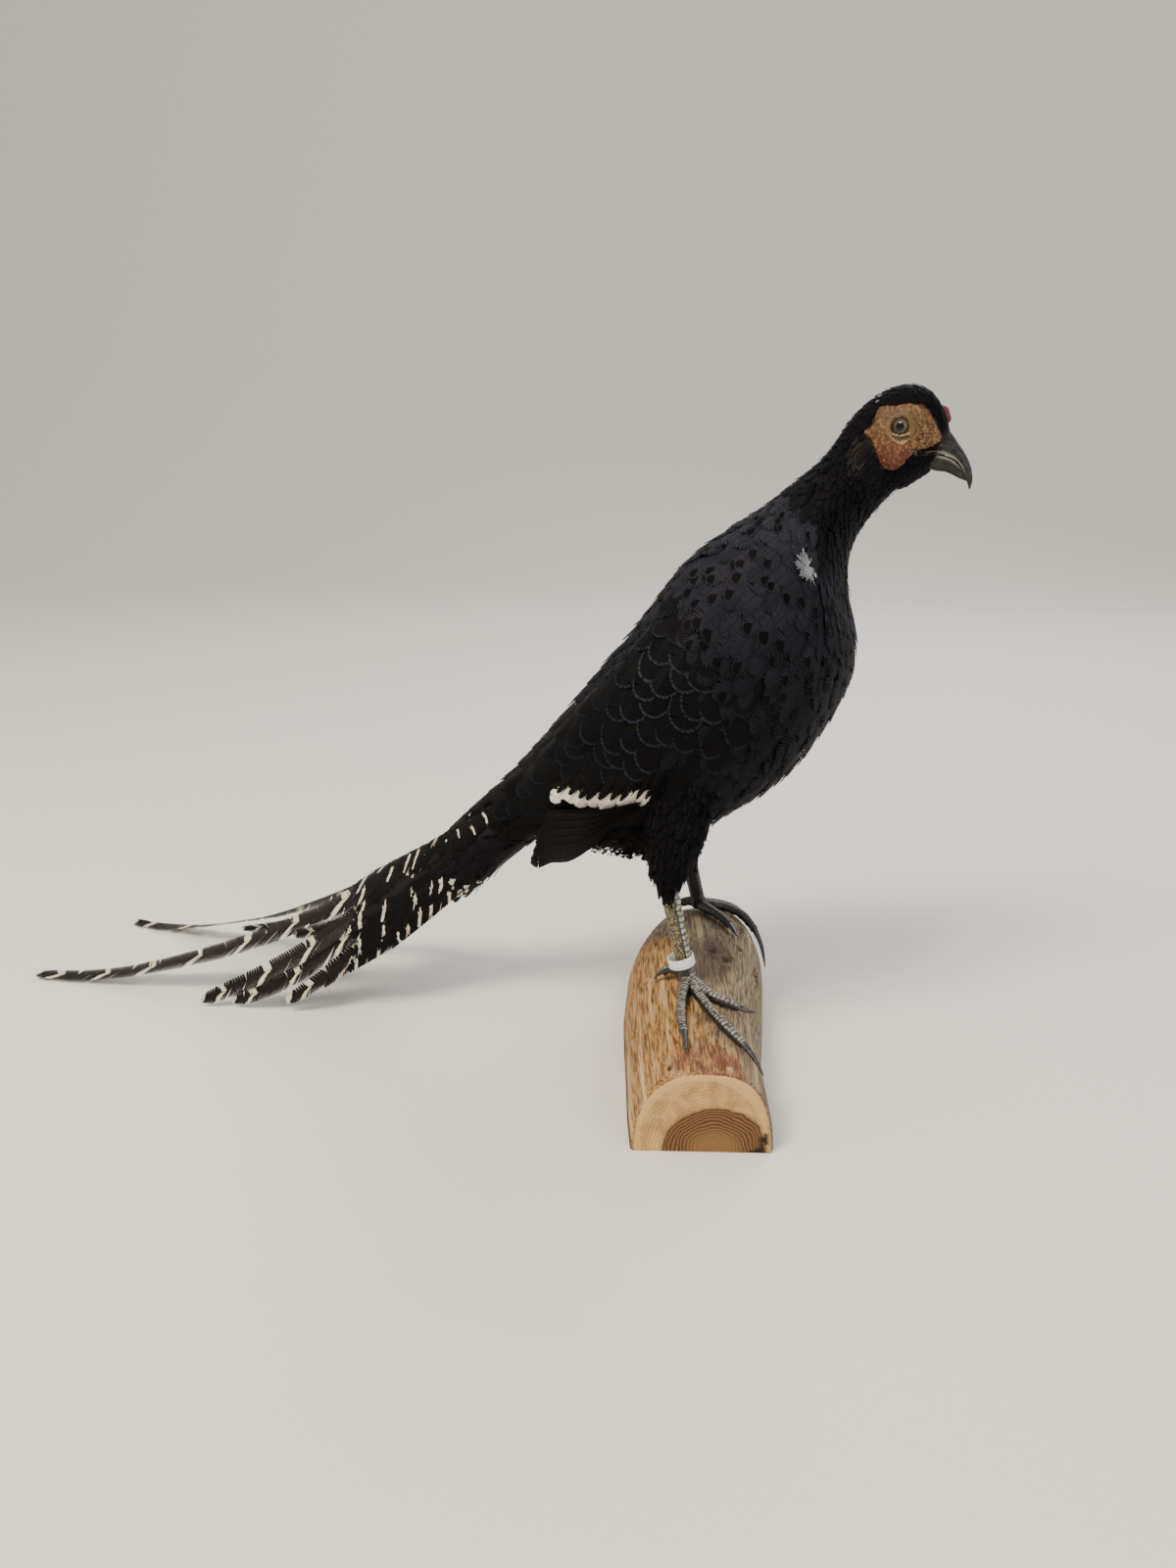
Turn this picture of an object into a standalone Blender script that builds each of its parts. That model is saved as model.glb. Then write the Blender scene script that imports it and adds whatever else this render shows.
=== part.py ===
"""A cock Mikado pheasant, a taxidermy mount standing across a half log, life size.

Blender 4.5: run with  blender --background --python part.py
The origin is the middle of the log's flat underside. +X is the way the bird heads, +Y its left side,
+Z up. Lengths below are in millimetres and MM turns them into metres when a mesh is made.
"""
import math

import bmesh
import bpy
from mathutils import Vector

MM = 0.001
GAP = 0.4                  # clear space left between neighbouring solids
PATCH_CLEAR = 0.65         # the same under a curved patch, where the flat facets come closer
BODY_SIDES = 24            # points round a body section

# The bird's mid-plane and how the head turns out of it
MID_Y = 31.0
TURN_START_X = 62.0        # the neck starts to turn here
TURN_DONE_X = 92.0         # and from here on the head lies straight
HEAD_TURN = math.radians(18)

# Body sections from the root of the tail to the forehead. Each row: top x, top z, low x, low z,
# half width, squareness (2 is an ellipse), pear (above 0 is narrower on top)
BODY = [
    (-172, 114.5, -149.5, 82, 15.5, 2.0, 0.22),    # 0 end of the tail coverts
    (-148, 140.5, -122.5, 107, 20.5, 2.0, 0.20),   # 1
    (-124.5, 163, -94, 124.5, 27, 2.0, 0.16),      # 2 rump
    (-100, 190, -60, 121, 38, 2.1, 0.10),          # 3 vent
    (-71, 225, -22, 121, 49, 2.2, 0.04),           # 4 belly
    (-40.5, 262.5, 16, 145, 53, 2.2, 0.00),        # 5
    (-14.5, 296, 50, 171, 53, 2.2, -0.02),         # 6 breast
    (8.5, 314.5, 76, 210, 48, 2.15, -0.02),        # 7
    (29, 327.5, 85, 243, 39, 2.1, 0.00),           # 8
    (44.5, 340, 78.5, 280, 30, 2.0, 0.00),         # 9 root of the neck
    (56.5, 349.5, 79, 303, 24, 2.0, 0.00),         # 10
    (65.5, 359.5, 88, 322, 19.5, 2.0, 0.00),       # 11
    (74.5, 373.5, 99, 336, 16.5, 2.1, 0.02),       # 12 nape and throat
    (87, 385, 105, 338, 15.5, 2.2, 0.06),          # 13
    (100.5, 390.5, 110, 341, 14.5, 2.2, 0.08),     # 14 crown
    (112, 388.5, 115, 344.5, 12.5, 2.2, 0.08),     # 15
    (119.5, 381, 119, 348.5, 9.5, 2.1, 0.05),      # 16 forehead and chin
    (123, 370.5, 121, 351, 7.0, 2.0, 0.00),        # 17 root of the bill
]
RUMP, TRUNK, NECK, HEAD = (0, 2.6), (2.6, 9), (9, 12), (12, 17)

# Bill: each row is x, z of the ridge, z of the cutting edge, half width
UPPER_BILL = [(124.3, 367.5, 356.3, 6.0), (128.5, 362.5, 354.8, 5.2), (132.5, 356.5, 351.3, 4.0),
              (135.5, 349.5, 345.5, 2.9), (137, 343, 340.3, 1.7), (137, 337.5, 336.5, 0.6)]
LOWER_BILL = [(122.3, 355.4, 347.5, 5.2), (127, 353.8, 345.5, 4.6), (130.5, 350.5, 344, 3.7),
              (133.2, 345.6, 341.8, 2.6), (134.6, 342.0, 340.2, 1.4)]
BILL_LENGTHS, BILL_SIDES = 8, 10

# Eyes and the bare skin round them
EYE_X, EYE_Z, EYE_SIDE, EYE_RADIUS = 103.3, 369.5, 11.6, 4.4
WATTLE_FROM, WATTLE_TO = 12.5, 16.3      # along the head, in rows of BODY
WATTLE_MIDDLE, WATTLE_REACH = 88.0, 34.0        # round the head, in degrees from the crown
LOBE_REACH, LOBE_PLACE, LOBE_WIDTH = 20.0, 0.42, 0.24      # the lobe, by its share of the length
WATTLE_EDGE, WATTLE_LIFT = 0.6, 1.5      # how far it stands up at its edge, and more in the middle

# Wings, as patches that lie on the body: along in rows of BODY, round in degrees from the back
WING_FROM, WING_TO = 2.15, 6.45
WING_MIDDLE, WING_REACH = 66.0, 38.0
WING_EDGE, WING_LIFT = 0.8, 8.0
# Folded primaries below the wing. Each row: x, side from the mid-plane, top z, low z
PRIMARIES = [(-34, 57.5, 164, 158), (-48, 55.5, 162, 148.5), (-62, 52, 159, 134), (-76, 46.5, 156, 122.5),
             (-90, 39.5, 151, 116), (-100, 34.5, 140, 109.5), (-105.5, 31.5, 127, 111.5)]
PRIMARIES_HALF_THICKNESS = 1.3
PRIMARIES_STEPS = 9, 4     # faces along the blade and down it

# Tail. The feathers lie on an arched roof that opens backwards: ridge and edge heights and the
# half width of the arch at the places in TAIL_X
TAIL_X = [-150, -172, -200, -222, -250, -273, -313, -340, -400, -440, -480]
RIDGE_Z = [136, 115.5, 98.5, 86, 70, 59, 41, 31, 12, 4.4, 3.6]
EDGE_Z = [88, 68, 46, 33, 15, 5.5, 3.2, 3.0, 2.6, 2.5, 2.5]
ROOF_HALF = [14.5, 19, 33, 42, 54, 58, 60, 63, 63, 62, 62]
TAIL_DRIFT = 0.06          # the tail bears this much to the bird's left for each mm backwards
FAR_SPREAD = 0.86          # the left half of the fan is this much narrower
FEATHER_THICKNESS, FEATHER_STEP = 0.7, 1.45
FEATHER_COLUMNS = 3
TAIL_STATION = 23.0        # feathers share the places of their cross rows, so that they nest
# Tail feathers: side (-1 right, 1 left), tip x, place across the roof at root and tip, how late
# it swings outwards, width
TAIL_FEATHERS = [
    (-1, -476, 0.22, 0.59, 2.0, 27), (1, -462, 0.20, 0.84, 2.2, 27),
    (-1, -335, 0.48, 0.97, 3.5, 25), (1, -365, 0.48, 0.93, 3.0, 25),
    (-1, -313, 0.60, 0.97, 3.0, 24), (1, -318, 0.60, 0.93, 2.5, 24),
    (-1, -273, 0.72, 0.97, 2.0, 23), (1, -276, 0.72, 0.93, 2.0, 23),
    (-1, -250, 0.80, 0.96, 1.5, 20), (1, -250, 0.80, 0.93, 1.5, 20),
    (-1, -212, 0.86, 0.94, 1.0, 16), (1, -214, 0.86, 0.92, 1.0, 16),
]

# Half log: its axis runs from the near end to the far end. Rows: along, reach to the left of the
# axis, reach to the right, height
LOG_START = (16.0, -110.0)
LOG_ANGLE = math.radians(9)
LOG = [(0, 37.5, 39, 48), (30, 39.5, 38.5, 51), (60, 40.5, 38.5, 53.5), (110, 42.5, 44, 55.5),
       (150, 42.5, 48.5, 56), (190, 37, 51.5, 54.5), (212, 30, 48, 50)]
LOG_ROUND_LEFT, LOG_ROUND_RIGHT, LOG_ROUND_TOP = 2.3, 3.3, 2.2
LOG_SIDES = 22
LOG_RINGS = 8
LOG_EDGE = 2.5             # worn edge round both ends

# Legs. Thigh rows: x, side from the mid-plane, z, radius along, radius across
THIGH_RIGHT = [(-14.5, 51, 112, 7.6, 6.5), (-14.5, 50.5, 120, 11, 8.5), (-13, 47, 135, 16, 12),
               (-11.5, 41, 152, 20.5, 15), (-10, 33, 175, 23, 17)]
THIGH_LEFT = [(-14, 46, 93, 6.8, 6), (-14, 46, 103, 9.5, 8), (-13, 46, 124, 14.5, 11.5),
              (-12, 41, 147, 20, 15), (-10, 33, 175, 23, 17)]
FOOT_RIGHT = (-1.8, -25.0)
FOOT_LEFT = (-7.5, 88.0)
TARSUS_TOP, TARSUS_MIDDLE, TARSUS_FOOT = (5.6, 4.3), (4.8, 3.7), (4.8, 4.3)
PAD_RADIUS, PAD_FLATNESS = 5.6, 0.72
PAD_SIDES, PAD_RINGS = 12, 7
THIGH_LENGTHS, THIGH_SIDES = 8, 16
TARSUS_LENGTHS, TARSUS_SIDES = 6, 12
TOE_LENGTHS, TOE_SIDES = 2, 7      # rings to each bend of a toe, points round it
ANKLE = 8.0                # the foot reaches this far up from the middle of its pad
# Toes as places over the log: name, then x, y and the rise above the log of each bend, then of
# the claw
TOES_RIGHT = [
    ("outer", [(-1.8, -33, 0), (-1.8, -49, 0), (0, -65, 0), (3, -79, 0)], [(5, -89, 0), (6.5, -98, 0)]),
    ("middle", [(1.8, -33, 0), (11, -51, 0), (23, -69, 0), (33.5, -79, 0)],
     [(39.5, -84.5, 0), (44.5, -91, 0)]),
    ("inner", [(4.5, -32, 0), (12.5, -41, 0), (21.5, -46, 0.5), (28.5, -46.5, 2)],
     [(33.5, -45.5, 4.5), (37, -43.5, 9)]),
    ("hind", [(-6.5, -22, 3.5), (-12, -19.5, 4.5), (-16, -18, 3.5)], [(-19.5, -17, 2), (-21.5, -16.5, 0)]),
]
TOES_LEFT = [
    ("inner", [(-2.5, 81, 0), (4, 73, 0), (10.5, 65.5, 0), (15, 59, 0)], [(18, 53, 0), (20.5, 46, 0)]),
    ("middle", [(1, 88, 0), (11, 89, 0), (21, 88, 0.5), (29, 86, 1)], [(34, 84, 1), (37, 81, 0.5)]),
    ("outer", [(-2, 94, 0), (7, 96.5, 0), (15.5, 97, 0), (23, 96, 0)], [(28, 95, 0), (32, 93, 0)]),
    ("hind", [(-13, 90, 2), (-18, 91.5, 2), (-22.5, 93, 1)], [(-26.5, 94.5, 0), (-29.5, 96, 0)]),
]
TOE_ROOT, TOE_TIP, CLAW_TIP = 3.6, 2.5, 0.5

# Leg ring on the right tarsus
RING_ABOVE_FOOT, RING_RADIUS, RING_WALL, RING_HEIGHT = 10.2, 7.9, 0.8, 6.0
RING_SIDES = 20
RING_TILT = math.radians(14)
RING_SLIP = 1.5            # it hangs this far behind the middle of the tarsus


def smooth(keys, values, at):
    """The value at `at` of a smooth curve that passes through `values` at the rising `keys`."""
    last = len(keys) - 1
    i = 0
    while i < last - 1 and at > keys[i + 1]:
        i += 1
    span = keys[i + 1] - keys[i]
    t = (at - keys[i]) / span

    def slope(k):
        low, high = max(k - 1, 0), min(k + 1, last)
        return (values[high] - values[low]) / (keys[high] - keys[low])

    a, b = values[i], values[i + 1]
    return ((2 * t ** 3 - 3 * t ** 2 + 1) * a + (t ** 3 - 2 * t ** 2 + t) * span * slope(i)
            + (3 * t ** 2 - 2 * t ** 3) * b + (t ** 3 - t ** 2) * span * slope(i + 1))


def smooth_row(rows, at):
    """Every column of a table, read at the row number `at`."""
    keys = list(range(len(rows)))
    return [smooth(keys, [row[c] for row in rows], at) for c in range(len(rows[0]))]


def power(value, exponent):
    return math.copysign(abs(value) ** exponent, value)


def turned(x, side, z):
    """A place in the bird's own upright plane, carried round with the turn of neck and head."""
    done = min(max((x - TURN_START_X) / (TURN_DONE_X - TURN_START_X), 0.0), 1.0)
    angle = HEAD_TURN * done
    bent = min(max(x - TURN_START_X, 0.0), TURN_DONE_X - TURN_START_X)
    straight = max(x - TURN_DONE_X, 0.0)
    sway = math.tan(HEAD_TURN) * (bent * done / 2 + straight)
    return Vector((x - side * math.sin(angle), MID_Y - sway - side * math.cos(angle), z))


def body_point(at, angle, lift=0.0):
    """A place on the body: `at` in rows of BODY, `angle` in degrees from the back to the right."""
    top_x, top_z, low_x, low_z, half_width, square, pear = smooth_row(BODY, at)
    up = Vector((top_x - low_x, 0, top_z - low_z))
    half_depth = up.length / 2
    up.normalize()
    c, s = math.cos(math.radians(angle)), math.sin(math.radians(angle))
    high = power(c, 2 / square) * (half_depth + lift)
    side = power(s, 2 / square) * (half_width + lift) * (1 - pear * c)
    centre = Vector(((top_x + low_x) / 2, 0, (top_z + low_z) / 2))
    place = centre + up * high
    return turned(place.x, side, place.z)


def body_ring(at, lift=0.0, push=0.0):
    """A section all round the body, pushed along the body by `push`."""
    step = 360 / BODY_SIDES
    ring = [body_point(at, step * i, lift) for i in range(BODY_SIDES)]
    ahead = sum((body_point(at + 0.05, 90 * i) for i in range(4)), Vector()) / 4
    behind = sum((body_point(at - 0.05, 90 * i) for i in range(4)), Vector()) / 4
    along = (ahead - behind).normalized()
    return [point + along * push for point in ring]


def new_object(name, mesh_data, material):
    """A named object in the pheasant's collection, with its own material."""
    mesh = bpy.data.meshes.new(name)
    mesh_data.to_mesh(mesh)
    mesh_data.free()
    mesh.materials.append(material)
    mesh.shade_smooth()
    mesh.set_sharp_from_angle(angle=math.radians(50))
    thing = bpy.data.objects.new(name, mesh)
    pheasant.objects.link(thing)
    return thing


def paint(name, colour, roughness):
    """A plain material of one colour, given as red, green and blue from 0 to 1."""
    material = bpy.data.materials.new(name)
    material.use_nodes = True
    shader = material.node_tree.nodes["Principled BSDF"]
    shader.inputs["Base Color"].default_value = (*colour, 1)
    shader.inputs["Roughness"].default_value = roughness
    shader.inputs["Metallic"].default_value = 0.0
    return material


def loft(name, rings, material):
    """A closed solid through rings with the same number of points, its two ends flat fans."""
    data = bmesh.new()
    rows = [[data.verts.new(point * MM) for point in ring] for ring in rings]
    count = len(rings[0])
    for a, b in zip(rows, rows[1:]):
        for i in range(count):
            j = (i + 1) % count
            data.faces.new((a[i], a[j], b[j], b[i]))
    for row, order in ((rows[0], -1), (rows[-1], 1)):
        middle = data.verts.new(sum((v.co for v in row), Vector()) / count)
        for i in range(count):
            pair = (row[i], row[(i + 1) % count])[::order]
            data.faces.new((*pair, middle))
    bmesh.ops.recalc_face_normals(data, faces=data.faces)
    return new_object(name, data, material)


def slab(name, outer, inner, material):
    """A closed thin solid between two grids of points that lie one over the other."""
    data = bmesh.new()
    tops = [[data.verts.new(point * MM) for point in row] for row in outer]
    bases = [[data.verts.new(point * MM) for point in row] for row in inner]
    rows, columns = len(outer), len(outer[0])
    for i in range(rows - 1):
        for j in range(columns - 1):
            for grid, order in ((tops, 1), (bases, -1)):
                corners = (grid[i][j], grid[i][j + 1], grid[i + 1][j + 1], grid[i + 1][j])
                data.faces.new(corners[::order])
    rim = ([(0, j) for j in range(columns)] + [(i, columns - 1) for i in range(1, rows)]
           + [(rows - 1, j) for j in range(columns - 2, -1, -1)]
           + [(i, 0) for i in range(rows - 2, 0, -1)])
    for (i, j), (k, m) in zip(rim, rim[1:] + rim[:1]):
        data.faces.new((tops[i][j], bases[i][j], bases[k][m], tops[k][m]))
    bmesh.ops.recalc_face_normals(data, faces=data.faces)
    return new_object(name, data, material)


def cutter(thing):
    """Turns a solid into a guide that is not part of the model."""
    pheasant.objects.unlink(thing)
    cutters.objects.link(thing)
    thing.hide_render = True
    thing.display_type = "WIRE"
    return thing


def boolean(thing, other, operation):
    modifier = thing.modifiers.new(operation.title() + " " + other.name, "BOOLEAN")
    modifier.operation = operation
    modifier.solver = "EXACT"
    modifier.object = other


def tube_rings(centres, radii, sides, first_ahead=None):
    """Round sections square to a path, without twist; a radius is a number or (along X, across)."""
    rings = []
    across = None
    for i, centre in enumerate(centres):
        ahead = centres[min(i + 1, len(centres) - 1)] - centres[max(i - 1, 0)]
        if i == 0 and first_ahead:
            ahead = first_ahead.copy()
        ahead.normalize()
        if across is None:
            across = Vector((0, 1, 0)) if abs(ahead.z) > 0.7 else Vector((0, 0, 1))
        first = across.cross(ahead).normalized()
        across = ahead.cross(first)
        wide, deep = radii[i] if isinstance(radii[i], tuple) else (radii[i], radii[i])
        rings.append([centre + first * (wide * math.cos(2 * math.pi * k / sides))
                      + across * (deep * math.sin(2 * math.pi * k / sides)) for k in range(sides)])
    return rings


def path_through(points, steps):
    """A smooth path of `steps` + 1 places through hand-chosen points."""
    keys = list(range(len(points)))
    path = []
    for i in range(steps + 1):
        at = (len(points) - 1) * i / steps
        path.append(Vector([smooth(keys, [p[c] for p in points], at) for c in range(3)]))
    return path


# ---- Body ----

def make_body_part(name, span, rings, material):
    """A length of the body, parted from its neighbours by the gap."""
    start, end = span
    loops = []
    for i in range(rings + 1):
        at = start + (end - start) * i / rings
        push = {0: GAP / 2, rings: -GAP / 2}.get(i, 0.0)
        loops.append(body_ring(at, push=push))
    return loft(name, loops, material)


def body_cutter(name, span, rings, lift):
    start, end = span
    loops = [body_ring(start + (end - start) * i / rings, lift) for i in range(rings + 1)]
    return cutter(loft(name, loops, feather_black))


def make_patch(name, side, start, end, outline, lift_of, steps, material):
    """A raised patch on the body: `outline(t)` gives its two angles, `lift_of(t, k)` its height."""
    outer, inner = [], []
    for i in range(steps[0] + 1):
        t = i / steps[0]
        at = start + (end - start) * t
        low, high = outline(t)
        row_out, row_in = [], []
        for j in range(steps[1] + 1):
            k = j / steps[1]
            angle = side * (low + (high - low) * k)
            row_out.append(body_point(at, angle, PATCH_CLEAR + lift_of(t, k)))
            row_in.append(body_point(at, angle, PATCH_CLEAR))
        outer.append(row_out)
        inner.append(row_in)
    return slab(name, outer, inner, material)


def wing_outline(t):
    """The wing's edges round the body: an oval that is fuller in front."""
    reach = WING_REACH * math.sin(math.pi * (0.05 + 0.9 * t)) ** 0.6
    return WING_MIDDLE - reach, WING_MIDDLE + reach


def wing_lift(t, k):
    return WING_EDGE + WING_LIFT * (math.sin(math.pi * t) * math.sin(math.pi * k)) ** 0.7


def wattle_outline(t):
    """The bare skin's edges round the head, its lower lobe behind the gape."""
    reach = WATTLE_REACH * math.sin(math.pi * (0.14 + 0.72 * t)) ** 0.6
    lobe = LOBE_REACH * math.exp(-((t - LOBE_PLACE) / LOBE_WIDTH) ** 2)
    return WATTLE_MIDDLE - reach, WATTLE_MIDDLE + reach + lobe


def wattle_lift(t, k):
    return WATTLE_EDGE + WATTLE_LIFT * (math.sin(math.pi * t) * math.sin(math.pi * k)) ** 0.5


def make_primaries(name, side, material):
    """The folded flight feathers: a thin blade along the rump, its lower edge free."""
    outer, inner = [], []
    rows, columns = PRIMARIES_STEPS
    for i in range(rows + 1):
        x, out, top, low = smooth_row(PRIMARIES, (len(PRIMARIES) - 1) * i / rows)
        thick = PRIMARIES_HALF_THICKNESS
        row_out, row_in = [], []
        for j in range(columns + 1):
            z = low + (top - low) * j / columns
            row_out.append(Vector((x, MID_Y + side * (out + thick), z)))
            row_in.append(Vector((x, MID_Y + side * (out - thick), z)))
        outer.append(row_out)
        inner.append(row_in)
    return slab(name, outer, inner, material)


# ---- Head ----

def make_bill_half(name, rows, material):
    """One half of the bill, round above or below and flat at the cutting edge."""
    rings = []
    for i in range(BILL_LENGTHS + 1):
        x, ridge, edge, half = smooth_row(rows, (len(rows) - 1) * i / BILL_LENGTHS)
        ring = []
        for k in range(BILL_SIDES):
            angle = 2 * math.pi * k / BILL_SIDES
            high = (ridge + edge) / 2 + (ridge - edge) / 2 * math.cos(angle)
            ring.append(turned(x, half * math.sin(angle), high))
        rings.append(ring)
    return loft(name, rings, material)


def make_eye(name, side, radius, material):
    data = bmesh.new()
    bmesh.ops.create_uvsphere(data, u_segments=12, v_segments=8, radius=radius * MM)
    place = turned(EYE_X, side * EYE_SIDE, EYE_Z)
    bmesh.ops.translate(data, verts=data.verts, vec=place * MM)
    return new_object(name, data, material)


# ---- Tail ----

def roof_point(x, across, depth):
    """A place on the tail's arched roof: `across` is -1 at the right edge, 0 on the ridge and
    1 at the left edge, `depth` is how far it lies below the top layer."""
    rising = [-value for value in TAIL_X]
    ridge, edge, half = (smooth(rising, heights, -x) for heights in (RIDGE_Z, EDGE_Z, ROOF_HALF))
    if across > 0:
        half *= 1 - (1 - FAR_SPREAD) * min(max((-x - 172) / 100, 0), 1)
    rise = max(ridge - edge, 1.0)
    side, high = math.sin(across * math.pi / 2), math.cos(across * math.pi / 2)
    inward = Vector((0, rise * side, half * high)).normalized() * depth
    ridge_y = MID_Y + TAIL_DRIFT * (-x - 120)
    return Vector((x, ridge_y + half * side, edge + rise * high)) - inward


def coverts_end(across, depth):
    """How far forward a tail feather reaches: just behind the slanting end of the coverts."""
    top_x, top_z, low_x, low_z = BODY[0][:4]
    x = top_x
    for _ in range(8):
        z = roof_point(x, across, depth).z
        x = top_x - 3 * GAP + (top_z - z) * (low_x - top_x) / (top_z - low_z)
    return x


def feather_width(t):
    """A tail feather's width as a share of its full width: narrow at the root, blunt at the tip."""
    root = 0.6 + 0.4 * min(t / 0.25, 1)
    tip = math.sqrt(max(1 - ((t - 0.86) / 0.145) ** 2, 0.02)) if t > 0.86 else 1.0
    return root * (1 - 0.5 * t ** 1.5) * tip


def make_tail_feather(name, number, material):
    side, tip_x, root_across, tip_across, lateness, width = TAIL_FEATHERS[number]
    layer = number if number < 2 else 1 + number // 2
    depth = layer * FEATHER_STEP
    root_x = coverts_end(side * root_across, depth)
    first = math.ceil((-root_x + TAIL_STATION / 2) / TAIL_STATION)
    last = math.floor((-tip_x - TAIL_STATION / 2) / TAIL_STATION)
    stations = [root_x] + [-TAIL_STATION * k for k in range(first, last + 1)]
    stations += [tip_x + 9.0, tip_x + 2.5, tip_x]
    outer, inner = [], []
    for i, middle_x in enumerate(stations):
        t = (middle_x - root_x) / (tip_x - root_x)
        spread = root_across + (tip_across - root_across) * t ** lateness
        here = roof_point(middle_x, side * spread, depth)
        near = roof_point(middle_x, side * (spread - 0.02), depth)
        reach = 0.02 / (near - here).length * width / 2 * feather_width(t)
        row_out, row_in = [], []
        for j in range(FEATHER_COLUMNS + 1):
            across = side * min(spread + (2 * j / FEATHER_COLUMNS - 1) * reach, 1.0)
            x = coverts_end(across, depth) if i == 0 else middle_x
            row_out.append(roof_point(x, across, depth))
            row_in.append(roof_point(x, across, depth + FEATHER_THICKNESS))
        outer.append(row_out)
        inner.append(row_in)
    return slab(name, outer, inner, material)


# ---- Log ----

def log_section(along):
    """Half width, height and sideways place of the log's section."""
    keys = [row[0] for row in LOG]
    left, right, height = (smooth(keys, [row[c] for row in LOG], along) for c in (1, 2, 3))
    return (left + right) / 2, height, (right - left) / 2


def log_point(along, angle, shrink=0.0):
    """A place on the log's rounded top: `angle` runs from 0 at the left to 180 at the right."""
    half, height, middle = log_section(along)
    half, height = half - shrink, height - shrink
    c, s = math.cos(math.radians(angle)), math.sin(math.radians(angle))
    square = LOG_ROUND_LEFT if c > 0 else LOG_ROUND_RIGHT
    off = middle - half * power(c, 2 / square)
    ahead = Vector((-math.sin(LOG_ANGLE), math.cos(LOG_ANGLE), 0))
    beside = Vector((math.cos(LOG_ANGLE), math.sin(LOG_ANGLE), 0))
    place = Vector((*LOG_START, 0)) + ahead * along + beside * off
    place.z = height * max(s, 0) ** (2 / LOG_ROUND_TOP)
    return place


def on_log(x, y, clear):
    """The centre of something of radius `clear` that lies on the log over the place x, y."""
    out = Vector((x, y, 0)) - Vector((*LOG_START, 0))
    along = -out.x * math.sin(LOG_ANGLE) + out.y * math.cos(LOG_ANGLE)
    off = out.x * math.cos(LOG_ANGLE) + out.y * math.sin(LOG_ANGLE)
    half, _, middle = log_section(along)
    share = min(abs(off - middle) / half, 0.995)
    square = LOG_ROUND_LEFT if off < middle else LOG_ROUND_RIGHT
    angle = math.degrees(math.acos(share ** (square / 2)))
    angle = angle if off < middle else 180 - angle
    here = log_point(along, angle)
    across = log_point(along, angle + 0.5) - log_point(along, angle - 0.5)
    slope = log_point(along + 1, angle) - log_point(along - 1, angle)
    normal = across.cross(slope).normalized()
    if normal.z < 0:
        normal.negate()
    return here + normal * clear


def make_log(material):
    """The half log: a flat underside, a rounded top and worn edges round both sawn ends."""
    length = LOG[-1][0]
    places = [(0, LOG_EDGE), (0.7, 0.7), (LOG_EDGE, 0)]
    places += [(length * i / LOG_RINGS, 0) for i in range(1, LOG_RINGS)]
    places += [(length - LOG_EDGE, 0), (length - 0.7, 0.7), (length, LOG_EDGE)]
    rings = []
    for along, shrink in places:
        rings.append([log_point(along, 180 * i / LOG_SIDES, shrink) for i in range(LOG_SIDES + 1)])
    return loft("log", rings, material)


# ---- Legs ----

def make_thigh(name, side, rows, up, material):
    """The feathered thigh, from the hock, whose end is square to `up`, into the belly."""
    centres = [Vector((x, MID_Y + side * off, z)) for x, off, z, _, _ in rows]
    radii = [(row[3], row[4]) for row in rows]
    keys = list(range(len(rows)))
    path, sizes = [], []
    for i in range(THIGH_LENGTHS + 1):
        at = (len(rows) - 1) * i / THIGH_LENGTHS
        path.append(Vector([smooth(keys, [c[k] for c in centres], at) for k in range(3)]))
        sizes.append(tuple(smooth(keys, [r[k] for r in radii], at) for k in range(2)))
    return loft(name, tube_rings(path, sizes, THIGH_SIDES, up), material)


def make_tarsus(name, top, foot, material):
    """The scaled shank, from the feathers down to the foot."""
    path, sizes = [], []
    for i in range(TARSUS_LENGTHS + 1):
        t = i / TARSUS_LENGTHS
        path.append(top + (foot - top) * t)
        sizes.append(tuple(smooth([0, 0.45, 1], [a, b, c], t)
                           for a, b, c in zip(TARSUS_TOP, TARSUS_MIDDLE, TARSUS_FOOT)))
    return loft(name, tube_rings(path, sizes, TARSUS_SIDES), material)


def toe_path(foot, bends, claw):
    """Centres and radii along a toe and on through its claw, lying on the log."""
    root = (foot[0] * 0.75 + bends[0][0] * 0.25, foot[1] * 0.75 + bends[0][1] * 0.25, bends[0][2])
    places = [root] + bends + claw
    last_toe = len(bends)
    centres, radii = [], []
    for i, (x, y, rise) in enumerate(places):
        radius = TOE_ROOT + (TOE_TIP - TOE_ROOT) * min(i / last_toe, 1)
        radius = CLAW_TIP if i == len(places) - 1 else radius
        centres.append(on_log(x, y, radius + 2 * GAP) + Vector((0, 0, rise)))
        radii.append(radius)
    return centres, radii, last_toe


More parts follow.
